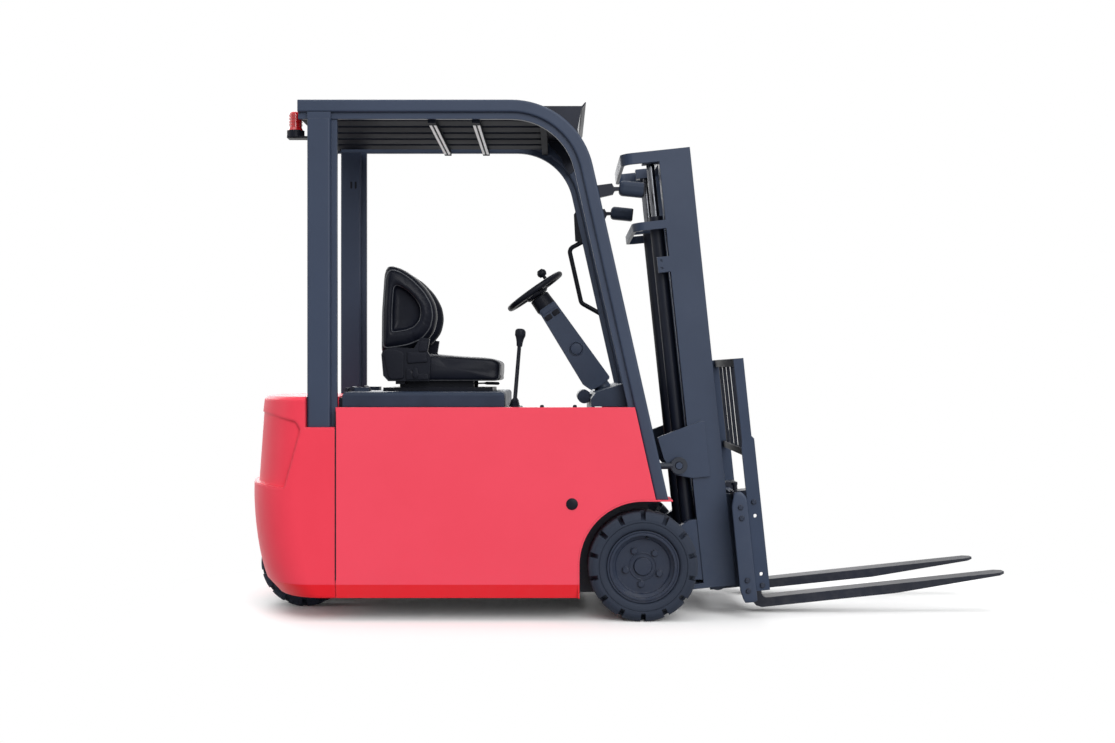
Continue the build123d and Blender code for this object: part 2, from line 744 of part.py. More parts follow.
with BuildPart() as pedals:
    for y, width in ((-150.0, 70.0), (-20.0, 90.0)):
        with BuildSketch(side(y + width / 2, front_bulkhead - bulkhead_thickness, floor_top)):
            outline_face((-86, 80), (-48, 146), (-40, 142), (-62, 100), (0, 80), (0, 66), (-70, 86),
                         (-78, 75))
        extrude(amount=width)
save(pedals, "pedals")

# Hood over the battery, open below; it carries the seat and hinges at its rear edge
hood_half = panel_inner - hood_side_gap
with BuildPart() as hood:
    block((hinge_place[0] - 7, mid_bulkhead - 4), (-hood_half, hood_half), (hood_bottom, deck_top))
    fillet(hood.faces().sort_by(Axis.Z)[-1].edges(), 16)
    offset(amount=-hood_skin, openings=hood.faces().sort_by(Axis.Z)[0])
    for y in (-hinge_spread, hinge_spread):
        block((hinge_place[0], hinge_place[0] + 70), (y - 35, y + 35), (deck_top - 2, hinge_place[1] + 4))
        rod_along_y(hinge_place[0], (y - 35, y + 35), hinge_place[1], hinge_barrel_radius)
        rod_along_y(hinge_place[0], (y - 40, y + 40), hinge_place[1],
                    hinge_pin_radius + bearing_clearance,
                    mode=Mode.SUBTRACT)
save(hood, "hood")

# Seat on the hood: slide rails with the hip brackets, cushion and back, measured from the hip point
seat_level = seat_rise - seat_gap
with BuildPart() as seat_frame:
    block((seat_place - 70, seat_place + 410), (-200, 200), (deck_top + seat_gap, deck_top + 16))
    for y in (-180, 150):
        block((seat_place + 1, seat_place + 326), (y, y + 30), (deck_top + 15, deck_top + seat_level))
    for y in (-seat_half_width - seat_gap, seat_half_width + seat_gap + seat_bracket_width):
        with BuildSketch(side(y, seat_place, cushion_bottom)):
            outline_face((-70, 112), (-62, 20), (-40, -4), (138, -4), (145, 101), (130, 124), (139, 180),
                         (100, 186),
                         (71, 138), (-19, 144), (-64, 129))
        extrude(amount=seat_bracket_width)
    block((seat_place - 10, seat_place + 30), (-seat_half_width - 10, seat_half_width + 10),
          (deck_top + 31, deck_top + seat_level))
save(seat_frame, "seat_frame")

cushion_height = 112.0
with BuildPart() as seat_cushion:
    with BuildSketch(side(seat_half_width, seat_place, cushion_bottom)):
        with BuildLine():
            Polyline((0, 0), (410, 0), (444, 37))
            ThreePointArc((444, 37), (445, 68), (425, 85))
            Spline((425, 85), (290, 89), (145, cushion_height - 6))
            Polyline((145, cushion_height - 6), (0, cushion_height), (0, 0))
        make_face()
    extrude(amount=2 * seat_half_width)
    fillet(seat_cushion.edges().filter_by(lambda e: abs(e.center().Y) > seat_half_width - 1
                                          and e.center().Z > cushion_bottom + 60), 24)
save(seat_cushion, "seat_cushion")

with BuildPart() as seat_back:
    with BuildSketch(side(seat_half_width, seat_place, cushion_bottom)):
        with BuildLine():
            Spline((-44, 492), (60, 441), (151, 333), (156, 237), (99, 163))
            Polyline((99, 163), (-76, 124), (-70, 305), (-59, 463), (-44, 492))
        make_face()
    extrude(amount=2 * seat_half_width)
    block((seat_place, seat_place + 60), (-150, 150),
          (cushion_bottom + cushion_height + seat_gap, cushion_bottom + cushion_height + 60))
save(seat_back, "seat_back")

# Drive axle: the tube the mast hangs on, its gear casing, and the stubs the wheels turn on
axle_stub = tyre_outer - 67
with BuildPart() as drive_axle:
    rod_along_y(0, (-axle_stub, axle_stub), axle_height, wheel_stub_radius)
    rod_along_y(0, (-axle_plate_outer - 1, axle_plate_outer + 1), axle_height, axle_tube_radius)
    rod_along_y(0, (-axle_casing_half, axle_casing_half), axle_height, axle_casing_radius)
    for y in (-axle_plate_outer - 12, axle_plate_outer + 1):
        rod_along_y(0, (y, y + 11), axle_height, axle_tube_radius + 25)
save(drive_axle, "drive_axle")


def tyre_ring(x, inner, outer, radius, bead, shoulder):
    """A solid tyre before its lugs are cut, in flat facets, four to a lug, with sloped shoulders."""
    across, down = shoulder
    facets = 4 * lug_count
    with BuildSketch(side(outer, x, radius)) as tread:
        RegularPolygon(radius, facets, major_radius=False, rotation=180 / facets)
    ring = extrude(tread.sketch, amount=outer - inner)
    walls = ring.faces().sort_by(Axis.Y)
    for wall in (walls[0], walls[-1]):
        chamfer(wall.edges(), down, across, reference=wall)
    with BuildSketch(side(outer, x, radius)) as bore:
        RegularPolygon(bead, facets, major_radius=False, rotation=180 / facets)
    extrude(bore.sketch, amount=outer - inner, mode=Mode.SUBTRACT)


def cut_lugs(x, inner, outer, radius):
    """Cut the slots between a tyre's lugs: a row in each shoulder, the two rows half a pitch apart."""
    reach = (outer - inner) * lug_reach_share
    axle = Axis((x, 0, radius), (0, 1, 0))
    pitch = 360 / lug_count
    for edge, inward, shift in ((outer, -1, 0.0), (inner, 1, 0.5)):
        with BuildSketch(wheel_plane(x, radius)) as outline:
            outline_face((edge - inward, radius - lug_drop), (edge + inward * reach, radius - lug_depth),
                         (edge + inward * reach, radius + 1), (edge - inward, radius + 1))
        slot = extrude(outline.sketch, amount=lug_slot / 2, both=True, mode=Mode.PRIVATE)
        add([slot.rotate(axle, (step + shift) * pitch) for step in range(lug_count)], mode=Mode.SUBTRACT)


# Front wheels: the left one is turned from half profiles, the right one is its mirror image
with BuildPart() as front_rim_left:
    face = tyre_outer
    bore = wheel_stub_radius + bearing_clearance
    barrel = front_rim_radius - rim_wall
    with BuildSketch(wheel_plane(0, axle_height)):
        outline_face((tyre_inner + 12, front_rim_radius), (face - 7, front_rim_radius),
                     (face - 7, front_rim_radius - 7),
                     (face - 27, front_rim_radius - 34), (face - 35, front_rim_radius - 38),
                     (face - 35, 40),
                     (face - 23, 36), (face - 23, 0), (face - 65, 0), (face - 65, bore),
                     (face - 135, bore),
                     (face - 135, 62), (face - 50, 62), (face - 50, barrel - 33), (face - 45, barrel),
                     (tyre_inner + 12, barrel))
    revolve(axis=Axis((0, 0, axle_height), (0, 1, 0)))
save(front_rim_left, "front_rim_left")

with BuildPart() as front_tyre_left:
    tyre_ring(0, tyre_inner, tyre_outer, front_tyre_radius, front_rim_radius + seat_gap, front_shoulder)
    cut_lugs(0, tyre_inner, tyre_outer, front_tyre_radius)
save(front_tyre_left, "front_tyre_left")

with BuildPart() as front_rim_right:
    add(front_rim_left.part.mirror(Plane.XZ))
save(front_rim_right, "front_rim_right")

with BuildPart() as front_tyre_right:
    add(front_tyre_left.part.mirror(Plane.XZ))
save(front_tyre_right, "front_tyre_right")

# Steer unit: bearing ring in the counterweight's well, knuckle between the twin wheels
with BuildPart() as steer_bearing:
    with BuildSketch(Plane.XY.offset(well_top)):
        with Locations((-wheel_base, 0)):
            Circle(steer_bearing_radius)
            Circle(kingpin_radius + running_clearance, mode=Mode.SUBTRACT)
    extrude(amount=-28)
save(steer_bearing, "steer_bearing")

with BuildPart() as steer_knuckle:
    with Locations((-wheel_base, 0, well_top - 4)):
        Cylinder(kingpin_radius, 30, align=(Align.CENTER, Align.CENTER, Align.MAX))
    with Locations((-wheel_base, 0, well_top - 29)):
        Cylinder(steer_bearing_radius - 10, 13, align=(Align.CENTER, Align.CENTER, Align.MAX))
    with BuildSketch(side(knuckle_thickness / 2, -wheel_base)):
        outline_face((-60, well_top - 41), (-48, rear_tyre_radius), (-30, rear_tyre_radius - 48),
                     (30, rear_tyre_radius - 48), (48, rear_tyre_radius), (60, well_top - 41))
        with Locations((0, rear_tyre_radius)):
            Circle(rear_axle_radius + bearing_clearance, mode=Mode.SUBTRACT)
    extrude(amount=knuckle_thickness)
save(steer_knuckle, "steer_knuckle")

with BuildPart() as rear_rims:
    rear_barrel = rear_rim_radius - 14
    with BuildSketch(wheel_plane(-wheel_base, rear_tyre_radius)):
        outline_face((0, 0), (0, rear_axle_radius), (rear_inner - 4, rear_axle_radius),
                     (rear_inner - 4, 60),
                     (rear_outer - 40, 60), (rear_outer - 30, rear_barrel), (rear_inner + 4, rear_barrel),
                     (rear_inner + 4, rear_rim_radius), (rear_outer - 5, rear_rim_radius),
                     (rear_outer - 5, rear_rim_radius - 6), (rear_outer - 20, rear_rim_radius - 28),
                     (rear_outer - 24, 40), (rear_outer - 14, 34), (rear_outer - 14, 0))
    revolve(axis=Axis((-wheel_base, 0, rear_tyre_radius), (0, 1, 0)))
    mirror(about=Plane.XZ)
save(rear_rims, "rear_rims")

with BuildPart() as rear_tyres:
    tyre_ring(-wheel_base, rear_inner, rear_outer, rear_tyre_radius, rear_rim_radius + seat_gap,
              rear_shoulder)
    cut_lugs(-wheel_base, rear_inner, rear_outer, rear_tyre_radius)
    mirror(about=Plane.XZ)
save(rear_tyres, "rear_tyres")


def rail_channel(edge, outer, rear, ahead, web):
    """Plan section of a right-hand mast rail: a channel open towards the middle."""
    middle = (rear + ahead) / 2
    with Locations((middle, -(edge + outer) / 2)):
        Rectangle(ahead - rear, outer - edge)
    with Locations((middle, -(edge - 10 + outer - web) / 2)):
        Rectangle(roller_gap, outer - web - edge + 10, mode=Mode.SUBTRACT)


def tie_band(reach):
    """Plan section of half a tie: a bent strip from the channel back and across behind the mast."""
    bend = (reach + tie_bend, tie_bend - mast_half_width)
    with BuildLine() as outline:
        Line((reach, 0), (reach, tie_bend - mast_half_width))
        CenterArc(bend, tie_bend, 180, 90)
        Polyline((reach + tie_bend, -mast_half_width), (channel_rear, -mast_half_width),
                 (channel_rear, tie_sheet - mast_half_width),
                 (reach + tie_bend, tie_sheet - mast_half_width))
        CenterArc(bend, tie_bend - tie_sheet, 270, -90)
        Polyline((reach + tie_sheet, tie_bend - mast_half_width), (reach + tie_sheet, 0), (reach, 0))
    make_face(outline.edges())


# Outer mast: two channels open to the inside, bent ties behind them, hangers on the axle, tilt plates
with BuildPart() as outer_mast:
    with BuildSketch(Plane.XY.offset(mast_bottom)):
        rail_channel(flange_inner, mast_half_width, channel_rear, channel_front, channel_web)
    extrude(amount=mast_top - mast_bottom)
    for bottom, height, reach in ((mast_top - top_tie_height, top_tie_height, top_tie_reach),
                                  (mid_tie_bottom, mid_tie_height, mid_tie_reach)):
        with BuildSketch(Plane.XY.offset(bottom)):
            tie_band(reach)
        extrude(amount=height)
    foot_inner = cylinder_spread - barrel_radius - 5
    block((channel_rear - 30, channel_rear), (-foot_inner, 0), (mast_bottom, mast_bottom + 110))
    block((cylinder_place - 45, channel_rear), (-mast_half_width, 10 - foot_inner),
          (mast_bottom, barrel_bottom))
    hanger_inner = mast_half_width - 55
    with BuildSketch(side(-hanger_inner)):
        outline_face((channel_rear, 150), (channel_rear - 34, 150), (60, 62), (-62, 62), (-86, 0),
                     (-62, -62), (0, -86),
                     (62, -86), (channel_rear, -110))
        Circle(axle_tube_radius + running_clearance, mode=Mode.SUBTRACT)
    extrude(amount=50)
    with BuildSketch(side(-mast_half_width)):
        outline_face((channel_rear + 75, 330), (channel_rear + 75, 566), (channel_rear + 60, 570),
                     (127, 519), (144, 426),
                     (160, tilt_pin[1]), (185, tilt_pin[1] - 39), (channel_rear, 330))
    extrude(amount=tilt_plate_thickness)
    rod_along_y(tilt_pin[0], (-tilt_spread - tilt_eye_width / 2 - 3, -tilt_plate_outer), tilt_pin[1],
                tilt_pin_radius)
    block((mid_tie_reach, chain_rear), (-chain_spread - 16, 16 - chain_spread),
          (chain_anchor - 28, chain_anchor - 16))
    block((chain_rear - 20, chain_rear), (-chain_spread - 16, 16 - chain_spread),
          (chain_anchor - 17, chain_anchor))
    block((cylinder_place - 20, channel_rear), (-mast_half_width, tie_sheet - mast_half_width),
          (clamp_bottom, clamp_top))
    block((cylinder_place - 10, cylinder_place + 10), (-mast_half_width + 10,
                                                       -cylinder_spread - barrel_radius - seat_gap),
          (clamp_bottom + 10, clamp_top - 10))
    for z in (clamp_bottom + 18, clamp_top - 18):
        rod_along_y(cylinder_place - 4, (-mast_half_width - 1, 5 - mast_half_width), z, 6,
                    mode=Mode.SUBTRACT)
    mirror(about=Plane.XZ)
save(outer_mast, "outer_mast", mast_place)

# Lift cylinder barrels, open at the top for the rods
with BuildPart() as lift_barrels:
    with Locations((cylinder_place, -cylinder_spread, barrel_bottom)):
        Cylinder(barrel_radius, barrel_top - barrel_bottom, align=(Align.CENTER, Align.CENTER, Align.MIN))
    with Locations((cylinder_place, -cylinder_spread, barrel_bottom + 20)):
        Cylinder(rod_radius + running_clearance, barrel_top - barrel_bottom,
                 align=(Align.CENTER, Align.CENTER, Align.MIN), mode=Mode.SUBTRACT)
    mirror(about=Plane.XZ)
save(lift_barrels, "lift_barrels", mast_place)

# Inner mast: rails nested inside the outer ones, with their rollers, ties, rod heads and sheave forks
inner_web = 12.0
with BuildPart() as inner_mast:
    with BuildSketch(Plane.XY.offset(mast_bottom + 6)):
        rail_channel(inner_edge, inner_outer, inner_rear, inner_front, inner_web)
    extrude(amount=mast_top - mast_bottom - 6)
    for z in (-80, 250):
        rod_along_y(roller_place, (3 - web_inner, -inner_outer), z, roller_radius)
    for ends in ((inner_top_tie, mast_top), (mast_bottom + 6, mast_bottom + 46)):
        block((inner_rear, inner_rear + 24), (-inner_edge, 0), ends)
    block((cylinder_place - 36, inner_rear + 10), (3 - inner_outer, -inner_edge - 4),
          (inner_top_tie, mast_top))
    for y in (-chain_spread - 26, 14 - chain_spread):
        block((inner_rear + 20, sheave_place + 14), (y, y + 12), (sheave_height - 18, mast_top))
    mirror(about=Plane.XZ)
save(inner_mast, "inner_mast", mast_place)

with BuildPart() as lift_rods:
    with Locations((cylinder_place, -cylinder_spread, inner_top_tie)):
        Cylinder(rod_radius, inner_top_tie - barrel_bottom - 24,
                 align=(Align.CENTER, Align.CENTER, Align.MAX))
    mirror(about=Plane.XZ)
save(lift_rods, "lift_rods", mast_place)

# Chain sheaves and lift chains
with BuildPart() as chain_sheaves:
    rod_along_y(sheave_place, (-chain_spread - 13, 13 - chain_spread), sheave_height,
                sheave_radius - seat_gap)
    mirror(about=Plane.XZ)
save(chain_sheaves, "chain_sheaves", mast_place)

with BuildPart() as lift_chains:
    inner_run = sheave_radius
    outer_run = sheave_radius + chain_thickness
    with BuildSketch(side(chain_width / 2 - chain_spread, sheave_place, sheave_height)):
        anchor_front = chain_anchor_height - sheave_height
        anchor_rear = chain_anchor - sheave_height
        with BuildLine():
            Polyline((inner_run, 0), (inner_run, anchor_front), (outer_run, anchor_front), (outer_run, 0))
            CenterArc((0, 0), outer_run, 0, 180)
            Polyline((-outer_run, 0), (-outer_run, anchor_rear), (-inner_run, anchor_rear),
                     (-inner_run, 0))
            CenterArc((0, 0), inner_run, 180, -180)
        make_face()
    extrude(amount=chain_width)
    mirror(about=Plane.XZ)
save(lift_chains, "lift_chains", mast_place)

# Carriage: two cross bars on roller plates that run in the inner mast
with BuildPart() as carriage:
    for bottom in (carriage_bars_top - carriage_bar_height, lower_bar):
        block((carriage_back, carriage_face), (-carriage_half_width, 0),
              (bottom, bottom + carriage_bar_height))
    with BuildSketch(side(carriage_plate - plate_edge)):
        outline_face((carriage_back, lower_bar), (carriage_back, carriage_bars_top),
                     (roller_place + 40, 245),
                     (roller_place - 30, 245), (roller_place - 34, 200), (roller_place, 60),
                     (roller_place - 34, -110),
                     (roller_place - 30, lower_bar + 1))
    extrude(amount=carriage_plate)
    for z in (-125, 190):
        rod_along_y(roller_place, (inner_web + 3 - inner_outer, -inner_edge - 2), z, roller_radius)
        rod_along_y(roller_place, (-inner_edge - 4, -plate_edge), z, 22)
    block((chain_front - 24, carriage_back), (-chain_spread - 18, 18 - chain_spread),
          (chain_anchor_height - 40, chain_anchor_height))
    block((carriage_back - 14, carriage_back), (10 - plate_edge, 0),
          (60, carriage_bars_top - carriage_bar_height + 5))
    mirror(about=Plane.XZ)
save(carriage, "carriage", mast_place)

# Forks: hook over the upper bar, shank, heel, tapered blade, lower hook, and the lock pin on top
fork_back = carriage_face + seat_gap
blade_bottom = fork_blade_top - fork_thickness
bar_top = carriage_bars_top + seat_gap
bar_bottom = lower_bar - seat_gap
hook_back = carriage_back - seat_gap
hook_top = bar_top + 22
for name, middle in (("fork_right", -fork_spread), ("fork_left", fork_spread)):
    with BuildPart() as fork:
        with BuildSketch(side(middle + fork_width / 2)):
            with BuildLine():
                Polyline((fork_back, bar_top), (hook_back, bar_top), (hook_back, bar_top - hook_lip),
                         (hook_back - hook_lip, bar_top - hook_lip), (hook_back - hook_lip, hook_top),
                         (fork_face - 6, hook_top), (fork_face, hook_top - 8),
                         (fork_face, fork_blade_top + fork_heel_radius))
                RadiusArc((fork_face, fork_blade_top + fork_heel_radius),
                          (fork_face + fork_heel_radius, fork_blade_top), -fork_heel_radius)
                Polyline((fork_face + fork_heel_radius, fork_blade_top), (fork_tip, fork_blade_top),
                         (fork_tip, fork_blade_top - fork_tip_thickness),
                         (fork_tip - fork_taper, blade_bottom),
                         (fork_back + 34, blade_bottom), (fork_back + 10, blade_bottom + 10),
                         (fork_back, blade_bottom + 34), (fork_back, bar_bottom - 18),
                         (hook_back - 10, bar_bottom - 18),
                         (hook_back - 10, bar_bottom + 12), (hook_back, bar_bottom + 12),
                         (hook_back, bar_bottom),
                         (fork_back, bar_bottom), (fork_back, bar_top))
            make_face()
        extrude(amount=fork_width)
        chamfer(fork.edges().filter_by(Axis.Z).filter_by(lambda e: e.center().X > fork_tip - 1), 30, 26)
        for radius, height in ((9, 36), (14, 12)):
            with Locations((hook_back + 2, middle, hook_top + 36)):
                Cylinder(radius, height, align=(Align.CENTER, Align.CENTER, Align.MAX))
    save(fork, name, mast_place)

# Load backrest: side plates bolted to the bars' ends, two rails and the bars between
upright_rear = backrest_front - 52
with BuildPart() as load_backrest:
    with BuildSketch(side(backrest_sheet - carriage_half_width)):
        outline_face((carriage_face, lower_bar + 17), (backrest_front, lower_bar + 17),
                     (backrest_front, backrest_low + 78),
                     (backrest_front - 10, backrest_low + 90), (backrest_front - 10, backrest_top),
                     (upright_rear, backrest_top), (upright_rear, backrest_low + 70),
                     (carriage_face, backrest_low + 40))
        for z in backrest_holes:
            with Locations((backrest_front - 30, z)):
                Circle(backrest_hole_radius, mode=Mode.SUBTRACT)
    extrude(amount=backrest_sheet)
    for bottom, height in ((backrest_low, 30), (backrest_top - 34, 34)):
        block((backrest_front - 34, backrest_front - 16), (-carriage_half_width, 0),
              (bottom, bottom + height))
    bar_pitch = 2 * carriage_half_width / (backrest_bars + 1)
    for step in range(backrest_bars // 2 + 1):
        block((backrest_front - 32, backrest_front - 18), (-step * bar_pitch - 10,
                                                           min(0, 10 - step * bar_pitch)),
              (backrest_low + 10, backrest_top - 10))
    mirror(about=Plane.XZ)
save(load_backrest, "load_backrest", mast_place)

# Tilt cylinders: the barrel swings on the front bulkhead, the rod's eye sits on the mast's pin
tilt_lug = 24.0
with BuildPart() as tilt_barrels:
    with BuildSketch(side(tilt_lug / 2 + 1 - tilt_spread)):
        with BuildLine():
            Polyline((0, tilt_lug), (30, tilt_lug), (30, -tilt_lug), (0, -tilt_lug))
            CenterArc((0, 0), tilt_lug, 90, 180)
        make_face()
        Circle(tilt_anchor_radius + bearing_clearance, mode=Mode.SUBTRACT)
    extrude(amount=tilt_lug + 2)
    with BuildSketch(front(28)):
        with Locations((-tilt_spread, 0)):
            Circle(tilt_barrel_radius)
    extrude(amount=tilt_barrel_end - 28)
    with BuildSketch(front(60)):
        with Locations((-tilt_spread, 0)):
            Circle(tilt_rod_radius + running_clearance)
    extrude(amount=tilt_barrel_end, mode=Mode.SUBTRACT)
    mirror(about=Plane.XZ)
save(tilt_barrels, "tilt_barrels", tilt_place)

with BuildPart() as tilt_rods:
    with BuildSketch(front(64)):
        with Locations((-tilt_spread, 0)):
            Circle(tilt_rod_radius)
    extrude(amount=tilt_length - 64 - 26)
    with BuildSketch(side(tilt_eye_width / 2 - tilt_spread)):
        with Locations((tilt_length, 0)):
            Circle(tilt_eye_radius)
            Circle(tilt_pin_radius + tilt_eye_play, mode=Mode.SUBTRACT)
    extrude(amount=tilt_eye_width)
    mirror(about=Plane.XZ)
save(tilt_rods, "tilt_rods", tilt_place)

# Brackets of the tilt cylinders on the front bulkhead: two cheeks and the pin through them
cheek = 12.0
cheek_gap = tilt_lug / 2 + 2
with BuildPart() as tilt_brackets:
    for y in (-tilt_spread - cheek_gap, cheek_gap + cheek - tilt_spread):
        with BuildSketch(side(y)):
            with BuildLine():
                Polyline((front_bulkhead, tilt_anchor[1] - 40),
                         (tilt_anchor[0], tilt_anchor[1] - tilt_lug))
                CenterArc(tilt_anchor, tilt_lug, -90, 180)
                Polyline((tilt_anchor[0], tilt_anchor[1] + tilt_lug),
                         (front_bulkhead, tilt_anchor[1] + 40),
                         (front_bulkhead, tilt_anchor[1] - 40))
            make_face()
        extrude(amount=cheek)
    rod_along_y(tilt_anchor[0], (-tilt_spread - cheek_gap - cheek, cheek_gap + cheek - tilt_spread),
                tilt_anchor[1],
                tilt_anchor_radius)
    mirror(about=Plane.XZ)
save(tilt_brackets, "tilt_brackets")
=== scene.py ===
# %% [markdown]
# # Dressing a three-wheel electric forklift
# The solids of the truck come in as a fixed frame, in metres: X points forward, Y to the driver's left
# and Z up. This lesson adds what solids leave out, which is paint, rubber, cloth, chain links, nuts and
# lenses. Nothing in the frame is moved. New pieces are grids of points worked out with numpy, one formula
# each.

# %% Load the frame
import json

import bmesh
import bpy
import numpy as np
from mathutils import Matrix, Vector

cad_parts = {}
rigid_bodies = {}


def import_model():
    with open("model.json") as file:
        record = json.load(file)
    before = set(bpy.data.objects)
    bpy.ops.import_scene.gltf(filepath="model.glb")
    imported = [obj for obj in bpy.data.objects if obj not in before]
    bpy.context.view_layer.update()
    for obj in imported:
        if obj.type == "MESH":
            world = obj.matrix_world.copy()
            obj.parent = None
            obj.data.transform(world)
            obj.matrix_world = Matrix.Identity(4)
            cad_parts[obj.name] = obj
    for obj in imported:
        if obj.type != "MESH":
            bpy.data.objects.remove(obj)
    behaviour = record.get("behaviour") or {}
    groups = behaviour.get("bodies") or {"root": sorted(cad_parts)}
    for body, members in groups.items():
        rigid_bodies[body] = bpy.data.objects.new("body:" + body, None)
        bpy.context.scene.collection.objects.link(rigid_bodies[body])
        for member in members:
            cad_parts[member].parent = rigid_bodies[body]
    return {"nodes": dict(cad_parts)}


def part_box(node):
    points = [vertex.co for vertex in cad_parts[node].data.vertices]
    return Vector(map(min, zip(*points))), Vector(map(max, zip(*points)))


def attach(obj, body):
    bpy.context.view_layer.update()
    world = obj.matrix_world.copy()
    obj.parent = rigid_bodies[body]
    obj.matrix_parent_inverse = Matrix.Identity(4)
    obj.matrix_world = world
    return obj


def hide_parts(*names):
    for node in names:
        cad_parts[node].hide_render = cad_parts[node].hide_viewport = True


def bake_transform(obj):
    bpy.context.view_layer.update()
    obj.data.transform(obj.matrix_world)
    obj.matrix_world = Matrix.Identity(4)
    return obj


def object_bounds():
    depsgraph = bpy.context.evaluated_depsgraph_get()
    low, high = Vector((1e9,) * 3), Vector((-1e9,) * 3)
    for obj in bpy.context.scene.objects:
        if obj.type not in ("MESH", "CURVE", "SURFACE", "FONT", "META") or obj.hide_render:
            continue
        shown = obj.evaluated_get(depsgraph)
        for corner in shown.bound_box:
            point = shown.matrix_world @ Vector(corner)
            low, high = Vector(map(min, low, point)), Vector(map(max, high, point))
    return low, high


for leftover in list(bpy.data.objects):
    bpy.data.objects.remove(leftover)
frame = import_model()
nodes = frame["nodes"]
cad_box = [list(corner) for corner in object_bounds()]
rim_low, rim_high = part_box("front_rim_right")
axle_x = (rim_low.x + rim_high.x) / 2
axle_z = (rim_low.z + rim_high.z) / 2
print("nodes:", len(nodes), "front axle at", round(axle_x, 4), round(axle_z, 4))

# %% [markdown]
# ## Camera
# The photograph was taken square to the truck's right side, from about six and a half metres. A long lens
# far away would hide the perspective that shows the far roof rail, so the camera stands where the
# photograph's did.

# %% Camera
photo_width, focal_length = 1115, 1431
stand_off, eye_height, behind_axle = 6.47, 1.041, 0.3563
camera_data = bpy.data.cameras.new("side_camera")
camera_data.sensor_width = 36
camera_data.lens = camera_data.sensor_width * focal_length / photo_width
camera = bpy.data.objects.new("side_camera", camera_data)
camera.location = (axle_x - behind_axle, -stand_off, eye_height)
camera.rotation_euler = (np.pi / 2, 0, 0)
bpy.context.scene.collection.objects.link(camera)
bpy.context.scene.camera = camera
bpy.context.scene.view_settings.view_transform = "Standard"
print("camera lens", round(camera_data.lens, 2))

# %% [markdown]
# ## A node helper
# A material is a tree of small operations. Writing one call per node, with its inputs by name, keeps a
# tree as readable as a formula. A value may be a number, a colour or another node's output.


# %% Node helper
def put(tree, kind, inputs=None, **settings):
    """Add a node of that kind, set its properties, and give its inputs values or links."""
    made = tree.nodes.new("ShaderNode" + kind)
    for key, value in settings.items():
        setattr(made, key, value)
    for key, value in (inputs or {}).items():
        if isinstance(value, bpy.types.NodeSocket):
            tree.links.new(value, made.inputs[key])
        else:
            made.inputs[key].default_value = value
    return made


def sums(tree, operation, first, second=0.5, third=0.5):
    """One Math node, and its answer."""
    return put(tree, "Math", {0: first, 1: second, 2: third}, operation=operation).outputs[0]


def ramp(tree, value, low, high, first=0.0, last=1.0):
    """A smooth step from first to last as value goes from low to high."""
    limits = {"From Min": low, "From Max": high, "To Min": first, "To Max": last}
    made = put(tree, "MapRange", {"Value": value, **limits})
    made.interpolation_type = "SMOOTHSTEP"
    return made.outputs["Result"]


def tint(tree, share, first, second, blend="MIX"):
    """A colour that goes from the first to the second as share goes from 0 to 1."""
    made = put(tree, "Mix", {"Factor": share}, data_type="RGBA", blend_type=blend)
    for socket, colour in ((made.inputs[6], first), (made.inputs[7], second)):
        if isinstance(colour, bpy.types.NodeSocket):
            tree.links.new(colour, socket)
        else:
            socket.default_value = (*colour, 1.0)
    return made.outputs[2]


def finish_of(name):
    """A new material with a Principled BSDF, and its tree and shader."""
    material = bpy.data.materials.new(name)
    material.use_nodes = True
    tree = material.node_tree
    return material, tree, tree.nodes["Principled BSDF"]


def dress(tree, shader, **values):
    """Set or link the shader's sockets, named with _ for a space."""
    for key, value in values.items():
        socket = shader.inputs[key.replace("_", " ")]
        if isinstance(value, bpy.types.NodeSocket):
            tree.links.new(value, socket)
        else:
            socket.default_value = value


def place_of(tree):
    """X, Y and Z of a point in its piece's own space, which is the truck's."""
    return put(tree, "SeparateXYZ", {"Vector": put(tree, "TexCoord").outputs["Object"]}).outputs


def plainly_seen(tree):
    """1 for rays from the camera, in a gloss or through glass, and 0 for light that bounces."""
    rays = put(tree, "LightPath").outputs
    seen = sums(tree, "MAXIMUM", rays["Is Camera Ray"], rays["Is Glossy Ray"])
    return sums(tree, "MAXIMUM", seen, rays["Is Transmission Ray"])


print("node helpers ready")

# %% [markdown]
# ## Studio floor and light
# Catalogue trucks stand on white paper, with a soft shadow close round the wheels and nothing further
# out. The world is white to the camera and in reflections, and gentler as a lamp. The floor is real paper
# under the truck and fades to plain white outside its footprint. To light that comes back up from it, the
# paper is greyer, so that the roof's underside stays dark. Seen from below, the paper is clear, so that
# the underside of the truck can be looked at.

# %% Paper floor
floor_reach = 40
ends = [(-1, -1, 0), (1, -1, 0), (1, 1, 0), (-1, 1, 0)]
floor_mesh = bpy.data.meshes.new("paper_floor")
floor_mesh.from_pydata(floor_reach * np.array(ends, float), [], [(0, 1, 2, 3)])
floor = bpy.data.objects.new("paper_floor", floor_mesh)
bpy.context.scene.collection.objects.link(floor)
print("paper floor", 2 * floor_reach, "m square")

# %% Paper finish: plain white from half a metre outside the truck's footprint
paper, tree, shader = finish_of("white_paper")
where = put(tree, "TexCoord").outputs["Object"]
middle = tuple((a + b) / 2 for a, b in zip(cad_box[0][:2], cad_box[1][:2]))
half_size = tuple((b - a) / 2 for a, b in zip(cad_box[0][:2], cad_box[1][:2]))
beside = put(tree, "VectorMath", {0: where, 1: (*middle, 0.0)}, operation="SUBTRACT").outputs[0]
beside = put(tree, "VectorMath", {0: beside}, operation="ABSOLUTE").outputs[0]
beside = put(tree, "VectorMath", {0: beside, 1: (*half_size, 0.0)}, operation="SUBTRACT").outputs[0]
beside = put(tree, "VectorMath", {0: beside, 1: (0.0, 0.0, 0.0)}, operation="MAXIMUM").outputs[0]
away = ramp(tree, put(tree, "VectorMath", {0: beside}, operation="LENGTH").outputs["Value"], 0.0, 0.5)
fibre = put(tree, "TexNoise", {"Vector": where, "Scale": 60.0, "Detail": 4.0}).outputs["Fac"]
